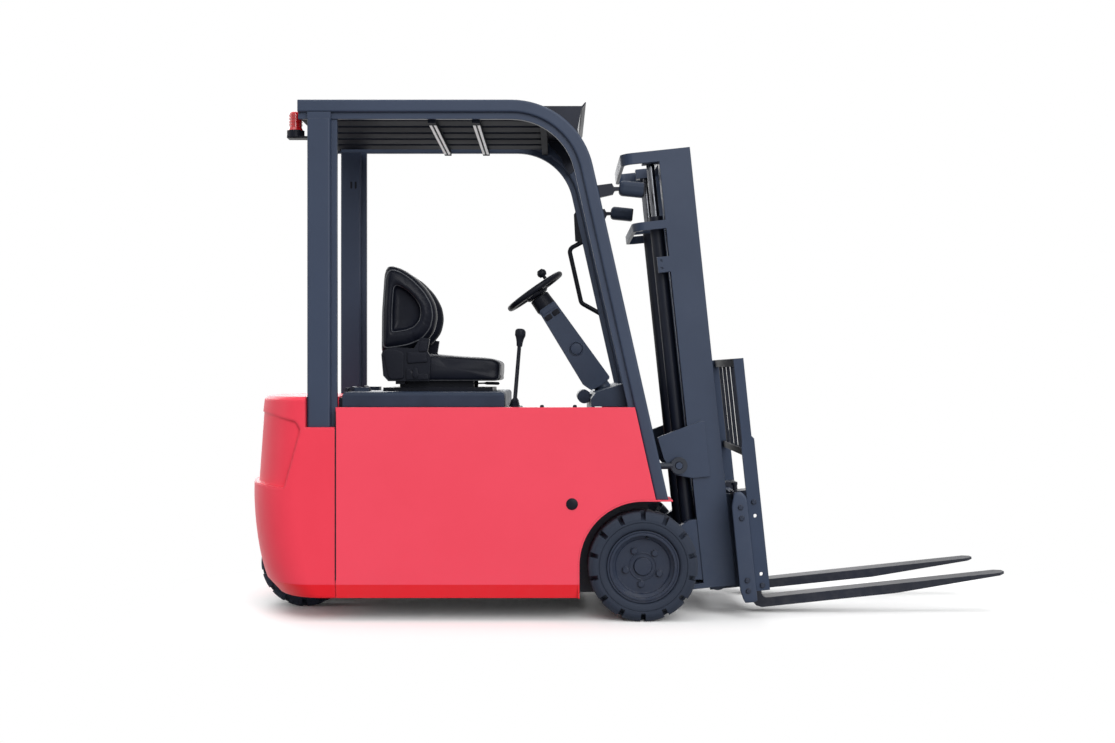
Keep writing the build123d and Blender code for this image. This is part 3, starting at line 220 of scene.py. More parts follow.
seen = plainly_seen(tree)
pulp = tint(tree, fibre, (0.93, 0.93, 0.93), (0.97, 0.97, 0.97))
sheet = tint(tree, seen, (0.34, 0.34, 0.34), pulp)
dress(tree, shader, Base_Color=sheet, Roughness=0.9, Specular_IOR_Level=0.1)
glow = put(tree, "Emission", {"Color": (1, 1, 1, 1), "Strength": 1.0}).outputs[0]
fade = sums(tree, "MULTIPLY", away, seen)
mixed = put(tree, "MixShader", {0: fade, 1: shader.outputs[0], 2: glow}).outputs[0]
under = put(tree, "NewGeometry").outputs["Backfacing"]
clear = put(tree, "BsdfTransparent").outputs[0]
mixed = put(tree, "MixShader", {0: under, 1: mixed, 2: clear}).outputs[0]
tree.links.new(mixed, tree.nodes["Material Output"].inputs["Surface"])
floor_mesh.materials.append(paper)
print("footprint", round(2 * half_size[0], 3), "by", round(2 * half_size[1], 3), "m")

# %% White world
lamp_level = 0.34
world = bpy.data.worlds.new("white_studio")
bpy.context.scene.world = world
world.use_nodes = True
tree = world.node_tree
background = tree.nodes["Background"].inputs
tree.links.new(ramp(tree, plainly_seen(tree), 0.0, 1.0, lamp_level, 1.0), background["Strength"])
background["Color"].default_value = (1, 1, 1, 1)
print("world at", lamp_level, "as a lamp")

# %% [markdown]
# ## Lamps
# A catalogue picture is lit by broad soft boxes. Lamps that stand close would light the roof more than
# the wheels, so each one here is a sun with a wide disc, which gives the same light at every height and
# soft edges to the shadows. The rear lamp keeps the counterweight's rounding red where the side lamp no
# longer reaches.


# %% Four broad lamps
def far_lamp(name, travel, strength, spread):
    """A sun with a broad disc that shines along travel, and lights near and high things alike."""
    lamp = bpy.data.lights.new(name, "SUN")
    lamp.energy = strength
    lamp.angle = spread
    made = bpy.data.objects.new(name, lamp)
    aim = made.location.copy()
    aim[:] = travel
    made.rotation_euler = aim.to_track_quat("-Z", "Y").to_euler()
    bpy.context.scene.collection.objects.link(made)


far_lamp("camera_side", (-0.42, 1.0, -0.50), 2.36, 0.8)
far_lamp("far_side", (0.30, -1.0, -0.55), 1.5, 0.8)
far_lamp("overhead", (0.05, 0.1, -1.0), 1.5, 1.2)
far_lamp("rear", (1.0, 0.0, -0.35), 0.6, 0.6)
print("lamps: 4")

# %% [markdown]
# ## Effects that many finishes share
# Paint, rubber and plastic all have edges that catch light, a fine skin and a little dust low down. Each
# effect is one node group with named inputs, so every finish can ask for its own amount of it.


# %% Group maker
def effect(name, inputs, outputs):
    """An empty shader node group: inputs is a dict of float defaults, outputs a dict of socket types."""
    group = bpy.data.node_groups.new(name, "ShaderNodeTree")
    for key, value in inputs.items():
        socket = group.interface.new_socket(key, in_out="INPUT", socket_type="NodeSocketFloat")
        socket.default_value = value
    for key, kind in outputs.items():
        group.interface.new_socket(key, in_out="OUTPUT", socket_type="NodeSocket" + kind)
    return group, group.nodes.new("NodeGroupInput"), group.nodes.new("NodeGroupOutput")


def use(tree, group, **inputs):
    """Place a group in a material and return its outputs."""
    made = tree.nodes.new("ShaderNodeGroup")
    made.node_tree = group
    for key, value in inputs.items():
        made.inputs[key.replace("_", " ")].default_value = value
    return made.outputs


print("group maker ready")

# %% Fine skin: the orange peel of paint or the spark of moulded plastic
fine_skin, given, answer = effect("fine_skin", {"Grain": 300.0, "Cloud": 3.0},
                                  {"Height": "Float", "Shade": "Float"})
where = put(fine_skin, "TexCoord").outputs["Object"]
peel = put(fine_skin, "TexNoise", {"Vector": where, "Scale": given.outputs["Grain"], "Detail": 2.0})
cloud = put(fine_skin, "TexNoise", {"Vector": where, "Scale": given.outputs["Cloud"], "Detail": 5.0,
                                    "Roughness": 0.6})
fine_skin.links.new(peel.outputs["Fac"], answer.inputs["Height"])
fine_skin.links.new(ramp(fine_skin, cloud.outputs["Fac"], 0.25, 0.75), answer.inputs["Shade"])
print("fine_skin:", len(fine_skin.nodes), "nodes")

# %% Worn edges: the bevel that a pressed or cast edge really has, and where its paint thins
worn_edges, given, answer = effect("worn_edges", {"Radius": 0.004, "Breakup": 40.0},
                                   {"Wear": "Float", "Normal": "Vector"})
soft = put(worn_edges, "Bevel", {"Radius": given.outputs["Radius"]}, samples=4).outputs[0]
flat = put(worn_edges, "NewGeometry").outputs["Normal"]
turn = put(worn_edges, "VectorMath", {0: soft, 1: flat}, operation="DOT_PRODUCT").outputs["Value"]
where = put(worn_edges, "TexCoord").outputs["Object"]
patch = put(worn_edges, "TexNoise", {"Vector": where, "Scale": given.outputs["Breakup"], "Detail": 6.0})
patch = ramp(worn_edges, patch.outputs["Fac"], 0.42, 0.62)
bare = sums(worn_edges, "MULTIPLY", ramp(worn_edges, turn, 0.995, 0.86), patch)
worn_edges.links.new(bare, answer.inputs["Wear"])
worn_edges.links.new(soft, answer.inputs["Normal"])
print("worn_edges:", len(worn_edges.nodes), "nodes")

# %% Settled dust: more of it low down and on faces that look up
settled_dust, given, answer = effect("settled_dust", {"Top": 0.5, "Amount": 0.5}, {"Mask": "Float"})
where = put(settled_dust, "TexCoord").outputs["Object"]
height = put(settled_dust, "SeparateXYZ", {"Vector": where}).outputs["Z"]
up = put(settled_dust, "NewGeometry").outputs["Normal"]
up = put(settled_dust, "SeparateXYZ", {"Vector": up}).outputs["Z"]
low = ramp(settled_dust, sums(settled_dust, "DIVIDE", height, given.outputs["Top"]), 1.0, 0.0)
speck = put(settled_dust, "TexNoise", {"Vector": where, "Scale": 26.0, "Detail": 8.0, "Roughness": 0.7})
speck = ramp(settled_dust, speck.outputs["Fac"], 0.35, 0.7)
mask = sums(settled_dust, "MULTIPLY", low, ramp(settled_dust, up, 0.3, 1.0, 0.25, 1.0))
mask = sums(settled_dust, "MULTIPLY", mask, speck)
settled_dust.links.new(sums(settled_dust, "MULTIPLY", mask, given.outputs["Amount"]), answer.inputs["Mask"])
print("settled_dust:", len(settled_dust.nodes), "nodes")

# %% Pebble grain: the cells of leathercloth and of moulded plastic
pebble_grain, given, answer = effect("pebble_grain", {"Cells": 500.0}, {"Height": "Float"})
where = put(pebble_grain, "TexCoord").outputs["Object"]
cell = put(pebble_grain, "TexVoronoi", {"Vector": where, "Scale": given.outputs["Cells"]},
           feature="SMOOTH_F1")
pebble_grain.links.new(cell.outputs["Distance"], answer.inputs["Height"])
print("pebble_grain:", len(pebble_grain.nodes), "nodes")

# %% Wheel rings: the raised circles moulded round an axle at X and Z
wheel_rings, given, answer = effect("wheel_rings", {"X": 0.0, "Z": 0.0, "Pitch": 0.01},
                                    {"Height": "Float", "Radius": "Float"})
where = place_of(wheel_rings)
across = sums(wheel_rings, "SUBTRACT", where["X"], given.outputs["X"])
above = sums(wheel_rings, "SUBTRACT", where["Z"], given.outputs["Z"])
across = sums(wheel_rings, "MULTIPLY", across, across)
above = sums(wheel_rings, "MULTIPLY", above, above)
radius = sums(wheel_rings, "SQRT", sums(wheel_rings, "ADD", across, above))
wave = sums(wheel_rings, "PINGPONG", radius, given.outputs["Pitch"])
wave = sums(wheel_rings, "DIVIDE", wave, given.outputs["Pitch"])
wheel_rings.links.new(ramp(wheel_rings, wave, 0.3, 0.7), answer.inputs["Height"])
wheel_rings.links.new(radius, answer.inputs["Radius"])
print("effects:", len(bpy.data.node_groups))

# %% [markdown]
# ## Finishes
# The red body panels are sprayed and clear coated, so a fine orange peel bends the highlight a little.
# The frame, mast and guard wear a blue-grey satin paint. Pieces that slide on floors and pallets rub bare
# at their edges.


# %% Paints
def painted(name, colour, deep, rough, shine, wear_to, wear, dust, band_shade=None, round_over=0.004):
    """Sprayed metal: colour clouds towards deep, edges wear to another colour, dust greys the foot. Below
    the fold along the body's lower edge the paint can turn a deeper red, which is painted shade: that band
    faces down and gets less light. Edges look as rounded as round_over."""
    material, tree, shader = finish_of(name)
    skin = use(tree, fine_skin, Grain=420.0, Cloud=2.2)
    edge = use(tree, worn_edges, Radius=round_over)
    dirt = use(tree, settled_dust, Top=0.55, Amount=dust)
    colours = tint(tree, skin["Shade"], colour, deep)
    if band_shade:
        # Painted shade: below Z 0.155 m the red deepens for the band that faces down.
        band_shade_mask = ramp(tree, place_of(tree)["Z"], 0.1565, 0.1535)
        colours = tint(tree, band_shade_mask, colours, band_shade)
    colours = tint(tree, sums(tree, "MULTIPLY", edge["Wear"], wear), colours, wear_to)
    colours = tint(tree, dirt["Mask"], colours, (0.20, 0.19, 0.18))
    peel = put(tree, "Bump", {"Strength": 0.05, "Distance": 0.0004, "Height": skin["Height"],
                              "Normal": edge["Normal"]})
    gloss = sums(tree, "ADD", ramp(tree, skin["Shade"], 0.0, 1.0, rough - 0.03, rough + 0.05),
                 sums(tree, "MULTIPLY", dirt["Mask"], 0.4))
    dress(tree, shader, Base_Color=colours, Roughness=gloss, Normal=peel.outputs[0], Specular_IOR_Level=shine)
    return material


# Painted shade: the deeper red of the downward-facing lower band, not a second paint.
band_shade_red = (0.75, 0.013, 0.024)
red_paint = painted("red_paint", (0.765, 0.057, 0.097), (0.735, 0.050, 0.086), rough=0.34, shine=0.28,
                    wear_to=(0.84, 0.20, 0.24), wear=0.2, dust=0.1, band_shade=band_shade_red)
cast_red = painted("cast_red", (0.75, 0.049, 0.082), (0.72, 0.043, 0.073), rough=0.38, shine=0.14,
                   wear_to=(0.84, 0.16, 0.20), wear=0.1, dust=0.05, band_shade=band_shade_red, round_over=0.016)
dark_paint = painted("dark_paint", (0.032, 0.046, 0.081), (0.026, 0.038, 0.068), rough=0.40, shine=0.22,
                     wear_to=(0.11, 0.12, 0.15), wear=0.3, dust=0.15)
rim_paint = painted("rim_paint", (0.018, 0.026, 0.048), (0.014, 0.020, 0.038), rough=0.38, shine=0.2,
                    wear_to=(0.10, 0.11, 0.14), wear=0.3, dust=0.2)
roof_paint = painted("roof_paint", (0.008, 0.010, 0.017), (0.006, 0.008, 0.013), rough=0.62, shine=0.06,
                     wear_to=(0.05, 0.055, 0.07), wear=0.6, dust=0.1)
black_steel = painted("black_steel", (0.009, 0.012, 0.024), (0.006, 0.008, 0.015), rough=0.40, shine=0.2,
                      wear_to=(0.11, 0.11, 0.13), wear=0.5, dust=0.25)
battery_case = painted("battery_case", (0.040, 0.042, 0.048), (0.028, 0.030, 0.036), rough=0.5, shine=0.25,
                       wear_to=(0.12, 0.12, 0.12), wear=0.5, dust=0.5)
paints = (red_paint, cast_red, dark_paint, rim_paint, roof_paint, black_steel, battery_case)
print("paints:", ", ".join(paint.name for paint in paints))

# %% [markdown]
# ## Paint and painted shade of the load backrest
# The backrest's bars stand in each other's shade between two bright side plates, and all of it is one
# node. That shade is painted into the colour: the bars get a darker paint than the plates. A second
# material slot would need the solid's faces sorted, so one finish tells a bar from a plate by the
# distance from the truck's middle.

# %% Load backrest: painted shade darkens its bars between the two bright side plates
grille_paint_and_shade, tree, shader = finish_of("grille_paint_and_shade")
skin = use(tree, fine_skin, Grain=420.0, Cloud=4.0)
edge = use(tree, worn_edges, Radius=0.003)
plate_edge = 0.435
across = sums(tree, "ABSOLUTE", place_of(tree)["Y"])
plate = ramp(tree, across, plate_edge - 0.0005, plate_edge + 0.0005)
# Painted shade: the bars' darker colour stands for the shade they cast on each other.
bars = tint(tree, skin["Shade"], (0.008, 0.010, 0.017), (0.011, 0.014, 0.023))
sheet = tint(tree, skin["Shade"], (0.032, 0.046, 0.081), (0.026, 0.038, 0.068))
colours = tint(tree, plate, bars, sheet)
colours = tint(tree, sums(tree, "MULTIPLY", edge["Wear"], 0.3), colours, (0.11, 0.12, 0.15))
dress(tree, shader, Base_Color=colours, Roughness=ramp(tree, plate, 0.0, 1.0, 0.6, 0.42),
      Normal=edge["Normal"], Specular_IOR_Level=0.15)
print("bars end at", plate_edge, "m from the middle")

# %% [markdown]
# ## Plastic and leathercloth
# The hood, cowl, lamps and levers are moulded with a fine pebble grain, and the seat's cover has a
# coarser one. A picture of leather would repeat and stretch. Cells worked out in the piece's own space
# give the grain at its real size, with no seam.


# %% Moulded plastic and leathercloth
def moulded(name, colour, rough, cells, depth):
    """Black plastic or rubber: a pebble grain with a slow change of gloss."""
    material, tree, shader = finish_of(name)
    skin = use(tree, fine_skin, Grain=900.0, Cloud=6.0)
    grain = use(tree, pebble_grain, Cells=cells)
    edge = use(tree, worn_edges, Radius=0.002)
    paler = tuple(1.6 * c for c in colour)
    colours = tint(tree, sums(tree, "MULTIPLY", skin["Shade"], 0.5), colour, paler)
    colours = tint(tree, sums(tree, "MULTIPLY", edge["Wear"], 0.4), colours, (0.10, 0.10, 0.11))
    pebbles = put(tree, "Bump", {"Strength": depth, "Distance": 0.0006, "Height": grain["Height"],
                                 "Normal": edge["Normal"]})
    gloss = ramp(tree, skin["Shade"], 0.0, 1.0, rough - 0.06, rough + 0.06)
    dress(tree, shader, Base_Color=colours, Roughness=gloss, Normal=pebbles.outputs[0],
          Specular_IOR_Level=0.10)
    return material


black_plastic = moulded("black_plastic", (0.0055, 0.0065, 0.011), 0.38, 700.0, 0.25)
slate_plastic = moulded("slate_plastic", (0.021, 0.029, 0.048), 0.42, 700.0, 0.25)
seat_cover = moulded("seat_cover", (0.0045, 0.0055, 0.010), 0.34, 420.0, 0.35)
print("moulded:", black_plastic.name, slate_plastic.name, seat_cover.name)

# %% [markdown]
# ## Rubber
# A solid tyre comes out of its mould with fine rings on the wall, and the tread greys with floor dust.
# The rings could be cut in the mesh, but they stand less than half a millimetre high. So they are a bump
# that follows the distance from the axle, and they turn with the wheel. The floor mat's ribs are a bump
# across its width in the same way.


# %% Tyre rubber
def tyre_rubber(name, axle, tread_radius):
    """Solid tyre rubber: rings moulded on the wall, a dusty tread and a grain over all."""
    material, tree, shader = finish_of(name)
    rings = use(tree, wheel_rings, X=axle[0], Z=axle[1], Pitch=0.006)
    skin = use(tree, fine_skin, Grain=260.0, Cloud=9.0)
    edge = use(tree, worn_edges, Radius=0.004)
    tread = ramp(tree, rings["Radius"], tread_radius - 0.02, tread_radius)
    colours = tint(tree, skin["Shade"], (0.016, 0.022, 0.037), (0.023, 0.030, 0.047))
    colours = tint(tree, sums(tree, "MULTIPLY", tread, 0.3), colours, (0.045, 0.050, 0.064))
    height = sums(tree, "ADD", sums(tree, "MULTIPLY", rings["Height"], 0.5), skin["Height"])
    ribs = put(tree, "Bump", {"Strength": 0.35, "Distance": 0.0012, "Height": height,
                              "Normal": edge["Normal"]})
    dress(tree, shader, Base_Color=colours, Roughness=ramp(tree, skin["Shade"], 0.0, 1.0, 0.58, 0.74),
          Normal=ribs.outputs[0], Specular_IOR_Level=0.18)
    return material


rear_low, rear_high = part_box("rear_rims")
rear_axle = ((rear_low.x + rear_high.x) / 2, (rear_low.z + rear_high.z) / 2)
drive_radius, steer_radius = 0.229, 0.195
front_rubber = tyre_rubber("front_tyre_rubber", (axle_x, axle_z), drive_radius)
rear_rubber = tyre_rubber("rear_tyre_rubber", rear_axle, steer_radius)
print("steered axle at", round(rear_axle[0], 4), round(rear_axle[1], 4))

# %% Ribbed mat
rib_width = 0.008
mat, tree, shader = finish_of("ribbed_mat")
rib = sums(tree, "PINGPONG", place_of(tree)["Y"], rib_width)
skin = use(tree, fine_skin, Grain=500.0, Cloud=8.0)
ribs = put(tree, "Bump", {"Strength": 0.8, "Distance": 0.004, "Height": ramp(tree, rib, 0.002, 0.006)})
dress(tree, shader, Base_Color=tint(tree, skin["Shade"], (0.020, 0.020, 0.022), (0.036, 0.036, 0.038)),
      Roughness=ramp(tree, skin["Shade"], 0.0, 1.0, 0.6, 0.8), Normal=ribs.outputs[0])
print("mat ribs every", 2 * rib_width, "m")

# %% [markdown]
# ## Bare metal
# Lift rods are ground and chromed, fork heels and pins are machined, and chains are dark with oil. Even
# gloss looks like plastic on them. Noise drawn out along Z streaks the gloss the way that sliding and
# wiping do.


# %% Bright metals
def metal(name, colour, rough, streak):
    """Bare metal: long streaks along Z change its gloss, fine scratches bend the light."""
    material, tree, shader = finish_of(name)
    where = put(tree, "TexCoord").outputs["Object"]
    long = put(tree, "Mapping", {"Vector": where, "Scale": (90.0, 90.0, streak)}).outputs[0]
    mark = put(tree, "TexNoise", {"Vector": long, "Scale": 4.0, "Detail": 4.0}).outputs["Fac"]
    edge = use(tree, worn_edges, Radius=0.0015)
    darker = tuple(0.7 * c for c in colour)
    scratch = put(tree, "Bump", {"Strength": 0.06, "Distance": 0.0003, "Height": mark,
                                 "Normal": edge["Normal"]})
    dress(tree, shader, Base_Color=tint(tree, mark, colour, darker), Metallic=1.0,
          Roughness=ramp(tree, mark, 0.3, 0.7, rough - 0.05, rough + 0.12), Normal=scratch.outputs[0])
    return material


chrome_tone = (0.15, 0.155, 0.17)
chrome = metal("hard_chrome", chrome_tone, 0.14, 4.0)
steel = metal("machined_steel", (0.26, 0.26, 0.28), 0.34, 30.0)
chain_steel = metal("oiled_chain", (0.055, 0.056, 0.062), 0.36, 60.0)
print("metals:", chrome.name, steel.name, chain_steel.name)

# %% [markdown]
# ## Tilt rods
# A tilt rod is chromed where it slides into its cylinder, and its forged eye is painted. Rod and eye are
# one node, so the finish tells them apart by the distance along X from the eye's end.

# %% Tilt rods
eye_length = 0.149
eye_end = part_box("tilt_rods")[1].x
tilt_rod, tree, shader = finish_of("tilt_rod")
eye = ramp(tree, place_of(tree)["X"], eye_end - eye_length - 0.001, eye_end - eye_length + 0.001)
skin = use(tree, fine_skin, Grain=420.0, Cloud=8.0)
edge = use(tree, worn_edges, Radius=0.003)
forged = tint(tree, skin["Shade"], (0.014, 0.018, 0.028), (0.022, 0.028, 0.042))
dress(tree, shader, Base_Color=tint(tree, eye, chrome_tone, forged),
      Metallic=sums(tree, "SUBTRACT", 1.0, eye), Specular_IOR_Level=0.25,
      Roughness=ramp(tree, eye, 0.0, 1.0, 0.14, 0.42), Normal=edge["Normal"])
print("rod eye", eye_length, "m long")

# %% [markdown]
# ## Lenses
# The beacon is tinted plastic that lets some light in, the visor's pane and the lamp glasses are pale. A
# clear glass shader would show the empty shell behind a lamp, so its glass is a bright fluted surface,
# like the reflector behind it.

# %% Lenses
red_lens, tree, shader = finish_of("red_lens")
skin = use(tree, fine_skin, Grain=200.0, Cloud=20.0)
dress(tree, shader, Base_Color=tint(tree, skin["Shade"], (0.62, 0.012, 0.018), (0.46, 0.008, 0.012)),
      Roughness=ramp(tree, skin["Shade"], 0.0, 1.0, 0.10, 0.20), Subsurface_Weight=0.2, Coat_Weight=0.5)
pale_pane, tree, shader = finish_of("pale_pane")
skin = use(tree, fine_skin, Grain=200.0, Cloud=10.0)
dress(tree, shader, Base_Color=tint(tree, skin["Shade"], (0.74, 0.77, 0.80), (0.66, 0.69, 0.73)),
      Roughness=ramp(tree, skin["Shade"], 0.0, 1.0, 0.18, 0.3), Coat_Weight=0.3)
lamp_glass, tree, shader = finish_of("lamp_glass")
flute_width = 0.003
flute = ramp(tree, sums(tree, "PINGPONG", place_of(tree)["Y"], flute_width), 0.0, flute_width)
flutes = put(tree, "Bump", {"Strength": 0.5, "Distance": 0.001, "Height": flute})
dress(tree, shader, Base_Color=tint(tree, flute, (0.80, 0.82, 0.84), (0.62, 0.64, 0.67)), Roughness=0.12,
      Metallic=0.6, Normal=flutes.outputs[0], Coat_Weight=0.8)
print("finishes:", len(bpy.data.materials))

# %% [markdown]
# ## Giving each node its finish
# The record names a material slot for every node, so one table of slots is nearly enough. Some nodes
# differ from others of their slot, such as the cast counterweight, the rims and the tyre rings, and have
# a finish of their own.

# %% Assign
finishes = {
    "red_paint": red_paint, "dark_paint": dark_paint, "black_steel": black_steel,
    "battery_case": battery_case, "black_plastic": black_plastic, "mat": mat, "seat_cover": seat_cover,
    "tyre": front_rubber, "chrome": chrome, "steel": steel, "chain": chain_steel, "red_lens": red_lens,
    "pale_pane": pale_pane,
}
own = {
    "hood": slate_plastic, "dash_cowl": slate_plastic, "head_lamps": slate_plastic,
    "steering_column": dark_paint, "counterweight": cast_red, "seat_frame": black_plastic,
    "front_rim_left": rim_paint, "front_rim_right": rim_paint, "rear_rims": rim_paint,
    "roof_slats": roof_paint, "roof_cross_members": roof_paint, "load_backrest": grille_paint_and_shade,
    "tilt_rods": tilt_rod, "rear_tyres": rear_rubber,
}
for name, node in nodes.items():
    for slot in node.material_slots:
        known = slot.material.name.split(".")[0] if slot.material else ""
        slot.material = own.get(name, finishes.get(known, dark_paint))
print("finish by slot:", len(nodes) - len(own), "finish of its own:", len(own))

# %% [markdown]
# ## From formulas to meshes
# Every new piece below is a grid of points: one parameter runs along it, the other round it or across it.
# The points come from whole-array formulas, and one helper joins each cell of the grid to a quad.


# %% Grid to mesh
def skin_of(name, points, finish, body, wrap=(False, True), sharp=35.0):
    """Quads between neighbours in a grid, or in a stack of equal grids. wrap joins the last row or column
    to the first. The piece rides on body and takes finish as its material."""
    points = np.asarray(points, float)
    points = points.reshape(-1, *points.shape[-3:])
    copies, rows, columns = points.shape[:3]
    row, column = np.meshgrid(np.arange(rows - 1 + wrap[0]), np.arange(columns - 1 + wrap[1]), indexing="ij")
    after, beside = (row + 1) % rows, (column + 1) % columns
    cell = np.stack([row * columns + column, row * columns + beside, after * columns + beside,
                     after * columns + column], -1).reshape(-1, 4)
    faces = (cell[None] + np.arange(copies)[:, None, None] * rows * columns).reshape(-1, 4)
    mesh = bpy.data.meshes.new(name)
    mesh.from_pydata(points.reshape(-1, 3), [], faces)
    tidy = bmesh.new()
    tidy.from_mesh(mesh)
    bmesh.ops.remove_doubles(tidy, verts=tidy.verts, dist=1e-6)
    bmesh.ops.dissolve_degenerate(tidy, edges=tidy.edges, dist=1e-7)
    bmesh.ops.recalc_face_normals(tidy, faces=tidy.faces)
    tidy.to_mesh(mesh)
    tidy.free()
    mesh.shade_smooth()
    mesh.set_sharp_from_angle(angle=np.radians(sharp))
    mesh.materials.append(finish)
    piece = bpy.data.objects.new(name, mesh)
    bpy.context.scene.collection.objects.link(piece)
    if body:
        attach(piece, body)
    print(name, len(mesh.polygons), "faces")
    return piece


def turned(profile, sides=32):
    """A profile of (radius, height) pairs carried round its own Z: x = r cos a, y = r sin a, z = h."""
    profile = np.asarray(profile, float)
    angle = np.linspace(0, 2 * np.pi, sides, endpoint=False)
    radius, height = profile[:, :1], profile[:, 1:]
    return np.stack([radius * np.cos(angle), radius * np.sin(angle), height + 0 * angle], -1)


def hexagonal(flats, height, washer):
    """A nut on a round washer: its flats are r = half the flats / cos(a folded to a sixth turn)."""
    angle = np.linspace(0, 2 * np.pi, 24, endpoint=False)
    six = flats / 2 / np.cos((angle + np.pi / 6) % (np.pi / 3) - np.pi / 6)
    disc = np.full_like(angle, washer / 2)
    radii = np.stack([0 * disc, disc, disc, six, six, 0.93 * six, 0.5 * six, 0 * six])
    levels = np.array([0, 0, 0.18, 0.18, 0.88, 1.0, 1.0, 1.0])[:, None] * height
    return np.stack([radii * np.cos(angle), radii * np.sin(angle), levels + 0 * angle], -1)


def stamped(shape, places, axes):
    """Copies of a grid in one array: its Z is laid along each axis, its origin put at each place."""
    places = np.asarray(places, float).reshape(-1, 3)
    places, axes = np.broadcast_arrays(places, np.asarray(axes, float).reshape(-1, 3))
    axes = axes / np.linalg.norm(axes, axis=1, keepdims=True)
    aside = np.where(np.abs(axes[:, 2:]) < 0.9, [[0, 0, 1.0]], [[1.0, 0, 0]])
    first = np.cross(aside, axes)
    first /= np.linalg.norm(first, axis=1, keepdims=True)
    turn = np.stack([first, np.cross(axes, first), axes], -1)
    return np.einsum("nij,rcj->nrci", turn, shape) + places[:, None, None]


def tube(path, radius, sides=10, closed=True):
    """A round section carried along a path: centre + radius (side cos a + up sin a) at a point."""
    ahead = np.roll(path, -1, 0) - np.roll(path, 1, 0) if closed else np.gradient(path, axis=0)
    ahead /= np.linalg.norm(ahead, axis=1, keepdims=True)
    side = np.cross(ahead, [0, 1.0, 0] if np.abs(ahead[:, 1]).max() < 0.9 else [0, 0, 1.0])
    side /= np.linalg.norm(side, axis=1, keepdims=True)
    up = np.cross(side, ahead)
    angle = np.linspace(0, 2 * np.pi, sides, endpoint=False)[:, None]
    ring = side[:, None] * np.cos(angle) + up[:, None] * np.sin(angle)
    return path[:, None] + np.broadcast_to(np.asarray(radius, float), len(path))[:, None, None] * ring


def rounded_loop(corners, count, soften):
    """A closed outline through corners at even steps, averaged over a length to round them."""
    corners = np.asarray(corners, float)
    closed = np.vstack([corners, corners[:1]])
    steps = np.concatenate([[0], np.cumsum(np.linalg.norm(np.diff(closed, axis=0), axis=1))])
    at = np.linspace(0, steps[-1], count, endpoint=False)
    loop = np.stack([np.interp(at, steps, closed[:, i]) for i in range(closed.shape[1])], -1)
    far = np.minimum(at, steps[-1] - at)
    weight = np.exp(-0.5 * (far / soften) ** 2)
    blurred = np.fft.ifft(np.fft.fft(loop, axis=0) * np.fft.fft(weight / weight.sum())[:, None], axis=0)
    return blurred.real


print("mesh helpers ready")

# %% [markdown]
# ## Seat
# The seat is foam under leathercloth: a cushion and a back with two deep side wings, each edged with
# piping. Plain solids look like cast iron there. A closed outline is carried across the width and drawn
# in at the sides, and then Blender's cloth inflates it a few millimetres between its seams, which is what
# the foam does to the cover.

# %% Seat measures
cushion_low, cushion_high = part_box("seat_cushion")
seat_x, seat_z = cushion_low.x, cushion_low.z
half_seat = cushion_high.y
back_middle, cushion_middle = np.array((0.025, 0.315)), np.array((0.215, 0.054))
back_outline = rounded_loop([(-0.066, 0.478), (-0.046, 0.512), (0.008, 0.494), (0.068, 0.452), (0.122, 0.396),
                             (0.158, 0.336), (0.168, 0.278), (0.155, 0.214), (0.110, 0.158), (0.040, 0.130),
                             (-0.080, 0.112), (-0.078, 0.30)], 168, 0.016)
cushion_outline = rounded_loop([(-0.003, -0.002), (0.444, -0.002), (0.450, 0.030), (0.452, 0.078),
                                (0.420, 0.092), (0.290, 0.099), (0.145, 0.110), (0.06, 0.113),
                                (-0.003, 0.113)], 176, 0.009)
print("seat at", round(seat_x, 3), round(seat_z, 3), "half width", round(half_seat, 3))


# %% Carry the outline across the seat
def padded_form(outline, centre, stations, dish, dish_from):
    """Across the width the outline is scaled about its centre by each station. Nearer to the middle than
    dish_from, its front is pulled back by dish, and ribs across the pull make the sewn channels."""
    share, across = np.array(stations).T
    share, across = np.concatenate([share, share[::-1]]), np.concatenate([-across, across[::-1]])
    flat = centre + share[:, None, None] * (outline - centre)
    middle = np.clip((dish_from - np.abs(across)) / 0.07, 0, 1)[:, None]
    middle = middle * middle * (3 - 2 * middle)
    forward = np.clip((flat[..., 0] - centre[0] + 0.06) / 0.16, 0, 1)
    forward = forward * forward * (3 - 2 * forward)
    channel = np.exp(-((flat[..., 1] / 0.058 % 1 - 0.5) / 0.09) ** 2)
    x = flat[..., 0] - middle * forward * (dish + 0.006 * channel * (dish > 0))
    y = np.broadcast_to(across[:, None], x.shape)
    return np.stack([seat_x + x, y, seat_z + flat[..., 1]], -1)


def stations_of(insets, first, count):
    """Shares of the outline and distances from the middle: listed insets, then even steps."""
    last_share = insets[-1][0]
    steps = np.linspace(half_seat - first, 0.004, count)
    return [(share, half_seat - inset) for share, inset in insets] + [(last_share, reach) for reach in steps]


wing = [(0.0, 0.046), (0.25, 0.046), (0.42, 0.044), (0.485, 0.034), (0.515, 0.018), (0.545, 0.010),
        (0.60, 0.006), (0.66, 0.004), (0.73, 0.004), (0.79, 0.007), (0.84, 0.013), (0.865, 0.018),
        (0.90, 0.021), (0.94, 0.028), (0.972, 0.040), (0.99, 0.056), (0.995, 0.072), (0.995, 0.088)]
rim = [(0.0, 0.006), (0.45, 0.004), (0.75, 0.002), (0.86, 0.003), (0.915, 0.007), (0.955, 0.014),
       (0.985, 0.026), (0.996, 0.040)]
back_points = padded_form(back_outline, back_middle, stations_of(wing, 0.10, 22), 0.075, 0.165)
cushion_points = padded_form(cushion_outline, cushion_middle, stations_of(rim, 0.055, 26), 0.0, 0.10)
seat_back = skin_of("seat_back_cover", back_points, seat_cover, None, sharp=80.0)
seat_pad = skin_of("seat_cushion_cover", cushion_points, seat_cover, None, sharp=80.0)


